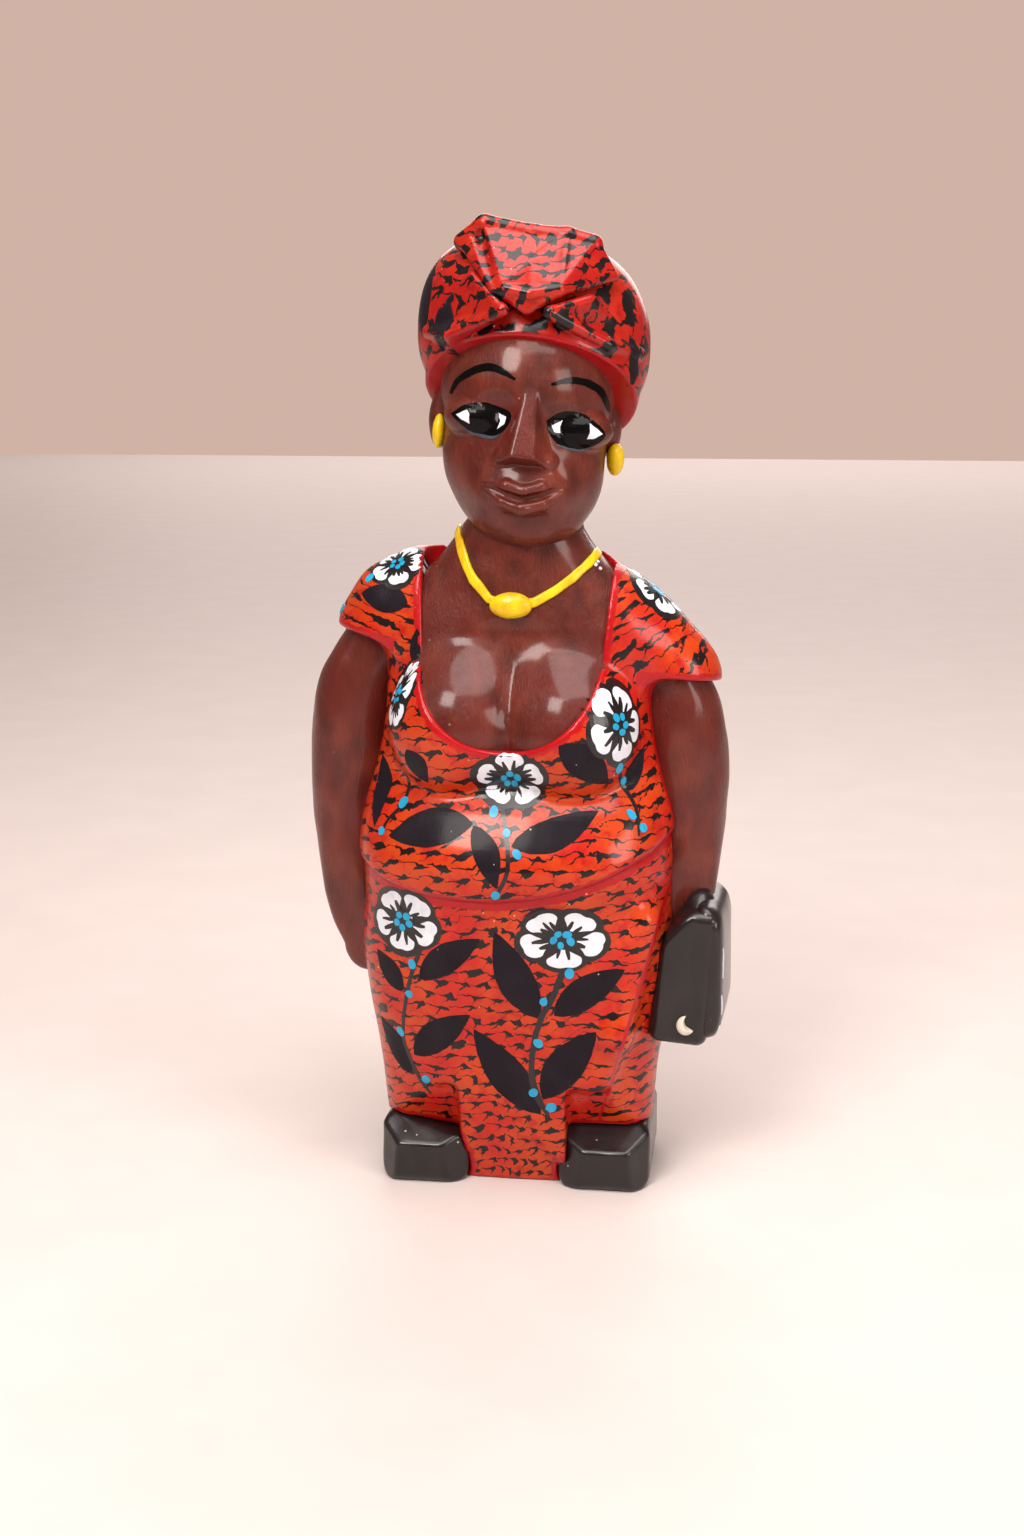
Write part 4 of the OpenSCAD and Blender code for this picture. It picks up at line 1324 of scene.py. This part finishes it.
def layPaintTree():
    # Drops each flat slab along its aim onto the target, then lifts it to its own thickness
    tree = bpy.data.node_groups.new("layPaint", "GeometryNodeTree")
    for label, kind in (("Slabs", "NodeSocketGeometry"), ("Wood", "NodeSocketObject"),
                        ("Thickness", "NodeSocketFloat"),
                        ("Wobble",
                         "NodeSocketFloat"), ("Seed", "NodeSocketFloat"), ("Paint", "NodeSocketMaterial")):
        tree.interface.new_socket(name=label, in_out="INPUT", socket_type=kind)
    tree.interface.new_socket(name="Paint layer", in_out="OUTPUT", socket_type="NodeSocketGeometry")
    given, out = tree.nodes.new("NodeGroupInput"), tree.nodes.new("NodeGroupOutput")

    def attribute(name, kind):
        node = tree.nodes.new("GeometryNodeInputNamedAttribute")
        node.data_type = kind
        node.inputs["Name"].default_value = name
        return node.outputs["Attribute"]

    def vector(operation, a, b=None, scale=None):
        node = tree.nodes.new("ShaderNodeVectorMath")
        node.operation = operation
        feed(tree, node.inputs[0], a)
        if b is not None:
            feed(tree, node.inputs[1], b)
        if scale is not None:
            feed(tree, node.inputs["Scale"], scale)
        return node.outputs[0]
    aim, lift = attribute("aim", "FLOAT_VECTOR"), attribute("lift", "FLOAT")
    place = tree.nodes.new("GeometryNodeInputPosition").outputs[0]
    shiver = tree.nodes.new("ShaderNodeTexNoise")
    shiver.noise_dimensions = "4D"
    feed(tree, shiver.inputs["Vector"], place)
    feed(tree, shiver.inputs["W"], given.outputs["Seed"])
    shiver.inputs["Scale"].default_value = 420.0
    offset = vector("SCALE", vector("SUBTRACT", shiver.outputs["Color"], (0.5, 0.5, 0.5)),
                    scale=given.outputs["Wobble"])
    wood = tree.nodes.new("GeometryNodeObjectInfo")
    wood.transform_space = "RELATIVE"
    feed(tree, wood.inputs["Object"], given.outputs["Wood"])
    ray = tree.nodes.new("GeometryNodeRaycast")
    feed(tree, ray.inputs["Target Geometry"], wood.outputs["Geometry"])
    feed(tree, ray.inputs["Source Position"], vector("ADD", place, offset))
    feed(tree, ray.inputs["Ray Direction"], aim)
    ray.inputs["Ray Length"].default_value = 0.2
    rise = maths(tree, "MULTIPLY", lift, given.outputs["Thickness"])
    landed = vector("ADD", ray.outputs["Hit Position"],
                    vector("SCALE", ray.outputs["Hit Normal"], scale=rise))
    move = tree.nodes.new("GeometryNodeSetPosition")
    feed(tree, move.inputs["Geometry"], given.outputs["Slabs"])
    feed(tree, move.inputs["Selection"], ray.outputs["Is Hit"])
    feed(tree, move.inputs["Position"], landed)
    real = tree.nodes.new("GeometryNodeRealizeInstances")
    coat = tree.nodes.new("GeometryNodeSetMaterial")
    feed(tree, real.inputs[0], move.outputs[0])
    feed(tree, coat.inputs["Geometry"], real.outputs[0])
    feed(tree, coat.inputs["Material"], given.outputs["Paint"])
    feed(tree, out.inputs[0], coat.outputs[0])
    return tree


layPaint = layPaintTree()
# dark leaf paint, also used for the painted shade patches on the headwrap band
leafAndShadeLook = dict(blackLook, dark=(0.009, 0.007, 0.01, 1), light=(0.019, 0.014, 0.02, 1),
                other=(0.013, 0.01, 0.015, 1),
                specks=0.12, chips=0.05, coat=0.12, sheen=0.05)
whiteLook = {"knife": 0.5, "hairs": 0.6, "dark": (0.62, 0.68, 0.78, 1), "light": (0.82, 0.85, 0.9, 1),
             "other": (0.74, 0.78, 0.86, 1), "under": (0.3, 0.1, 0.08, 1), "chips": 0.06, "specks": 0.05,
             "dirt": 0.3, "rough": 0.22, "relief": 0.0001, "coat": 0.4, "coatRough": 0.2}
blueLook = dict(whiteLook, dark=(0.008, 0.26, 0.5, 1), light=(0.02, 0.42, 0.68, 1),
                other=(0.012, 0.34, 0.6, 1))
# bluish slate for the painted sheen along each eye's lower rim
slateSheenLook = dict(whiteLook, dark=(0.02, 0.03, 0.045, 1), light=(0.08, 0.11, 0.15, 1),
                 other=(0.04, 0.055, 0.08, 1))
irisLook = dict(blackLook, dark=(0.001, 0.001, 0.0012, 1), light=(0.003, 0.0025, 0.003, 1),
                other=(0.002, 0.0016, 0.002,
                       1), specks=0.02, chips=0.0, coat=0.25, coatRough=0.05, sheen=0.03, relief=0.00006)
brushPaint = {"black": blackLook, "leaf": leafAndShadeLook, "white": whiteLook, "blue": blueLook,
              "slate": slateSheenLook, "iris": irisLook}
brushPaint = {name: paintMaterial(name + "BrushPaint", look) for name, look in brushPaint.items()}


def landCoat(target, colour, coat, seed):
    name = colour + "Coat" + target[0].upper() + target[1:]
    flat = bpy.data.meshes.new(name + "Flat")
    flat.from_pydata(toMetres([tuple(q) for q in coat["points"]]).tolist(), [], coat["faces"])
    flat.attributes.new("lift", "FLOAT", "POINT").data.foreach_set("value",
                                                                   [v / 1000 * grow for v in coat["lift"]])
    flat.attributes.new("aim", "FLOAT_VECTOR",
                        "POINT").data.foreach_set("vector", [c for v in coat["aim"] for c in v])
    slabs = bpy.data.objects.new(name, flat)
    bpy.context.collection.objects.link(slabs)
    modifier = slabs.modifiers.new("layPaint", "NODES")
    modifier.node_group = layPaint
    sockets = {item.name: item.identifier for item in layPaint.interface.items_tree if item.in_out == "INPUT"}
    for label, value in (("Wood", carved[target]), ("Thickness", 1.0), ("Wobble", 0.0005),
                         ("Seed", float(seed)),
                         ("Paint", brushPaint[colour])):
        modifier[sockets[label]] = value
    graph = bpy.context.evaluated_depsgraph_get()
    landed = bpy.data.meshes.new_from_object(slabs.evaluated_get(graph), depsgraph=graph)
    landed.name = name
    slabs.modifiers.clear()
    slabs.data = landed
    bpy.data.meshes.remove(flat)
    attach(slabs, "root")
    return slabs


for seed, ((target, colour), coat) in enumerate(coats.items()):
    landCoat(target, colour, coat, seed)
print("flowers, leaves, eyes and brows laid on")

# ---- Camera, floor and light ----

shot = {"lens": 46.875, "away": 0.451, "height": 0.1926, "down": 12.0, "round": 7.5, "aside": -0.002}
angle = math.radians(shot["round"])
sight = Vector((-math.sin(angle), math.cos(angle), 0))
across = Vector((math.cos(angle), math.sin(angle), 0))
cameraData = bpy.data.cameras.new("camera")
cameraData.lens = shot["lens"]
camera = bpy.data.objects.new("camera", cameraData)
bpy.context.collection.objects.link(camera)
axisPoint = Vector((midX, midY, 0)) / 1000
camera.location = axisPoint - sight * shot["away"] + across * shot["aside"] + Vector((0, 0, shot["height"]))
camera.rotation_euler = (math.radians(90 - shot["down"]), 0, angle)
bpy.context.scene.camera = camera

floorData = bpy.data.meshes.new("floor")
floorData.from_pydata([(-3, -3, 0), (3, -3, 0), (3, 3, 0), (-3, 3, 0)], [], [(0, 1, 2, 3)])
floor = bpy.data.objects.new("floor", floorData)
bpy.context.collection.objects.link(floor)
stone, stoneTree, stoneShader, stoneAt = newMaterial("paleStone")
veins = remap(stoneTree, noise(stoneTree, stoneAt, 0.03, 5), 0.35, 0.7)
stoneTree.links.new(blend(stoneTree, veins, (0.66, 0.585, 0.565, 1), (0.68, 0.605, 0.585, 1)),
                    stoneShader.inputs["Base Color"])
stoneShader.inputs["Roughness"].default_value = 0.6
stoneShader.inputs["Specular IOR Level"].default_value = 0.2
floorData.materials.append(stone)

lamps = {  # place in metres, size in metres, power in watts, colour
    "key": ((-0.3, -0.8, 0.85), 0.4, 9, (1, 0.94, 0.88)),
    "top": ((0.12, -0.25, 0.95), 0.7, 9, (1, 0.95, 0.92)),
    "side": ((0.75, -0.5, 0.35), 0.35, 3, (1, 0.92, 0.86)),
    "back": ((0, 3.1, 1.7), 2.6, 62, (1, 0.93, 0.89))}
for name, (place, size, power, colour) in lamps.items():
    light = bpy.data.lights.new(name, "AREA")
    light.size = size
    light.energy = power
    light.color = colour
    lamp = bpy.data.objects.new(name, light)
    lamp.location = place
    lamp.rotation_euler = (Vector((0, 0, 0.11)) - Vector(place)).to_track_quat("-Z", "Y").to_euler()
    bpy.context.collection.objects.link(lamp)
world = bpy.data.worlds.new("room")
world.use_nodes = True
room = world.node_tree
room.nodes["Background"].inputs[0].default_value = (0.95, 0.68, 0.57, 1)
seen = room.nodes.new("ShaderNodeLightPath").outputs["Is Camera Ray"]
room.links.new(remap(room, seen, 0.0, 1.0, 0.26, 0.66), room.nodes["Background"].inputs[1])
bpy.context.scene.world = world
bpy.context.scene.view_settings.view_transform = "Standard"
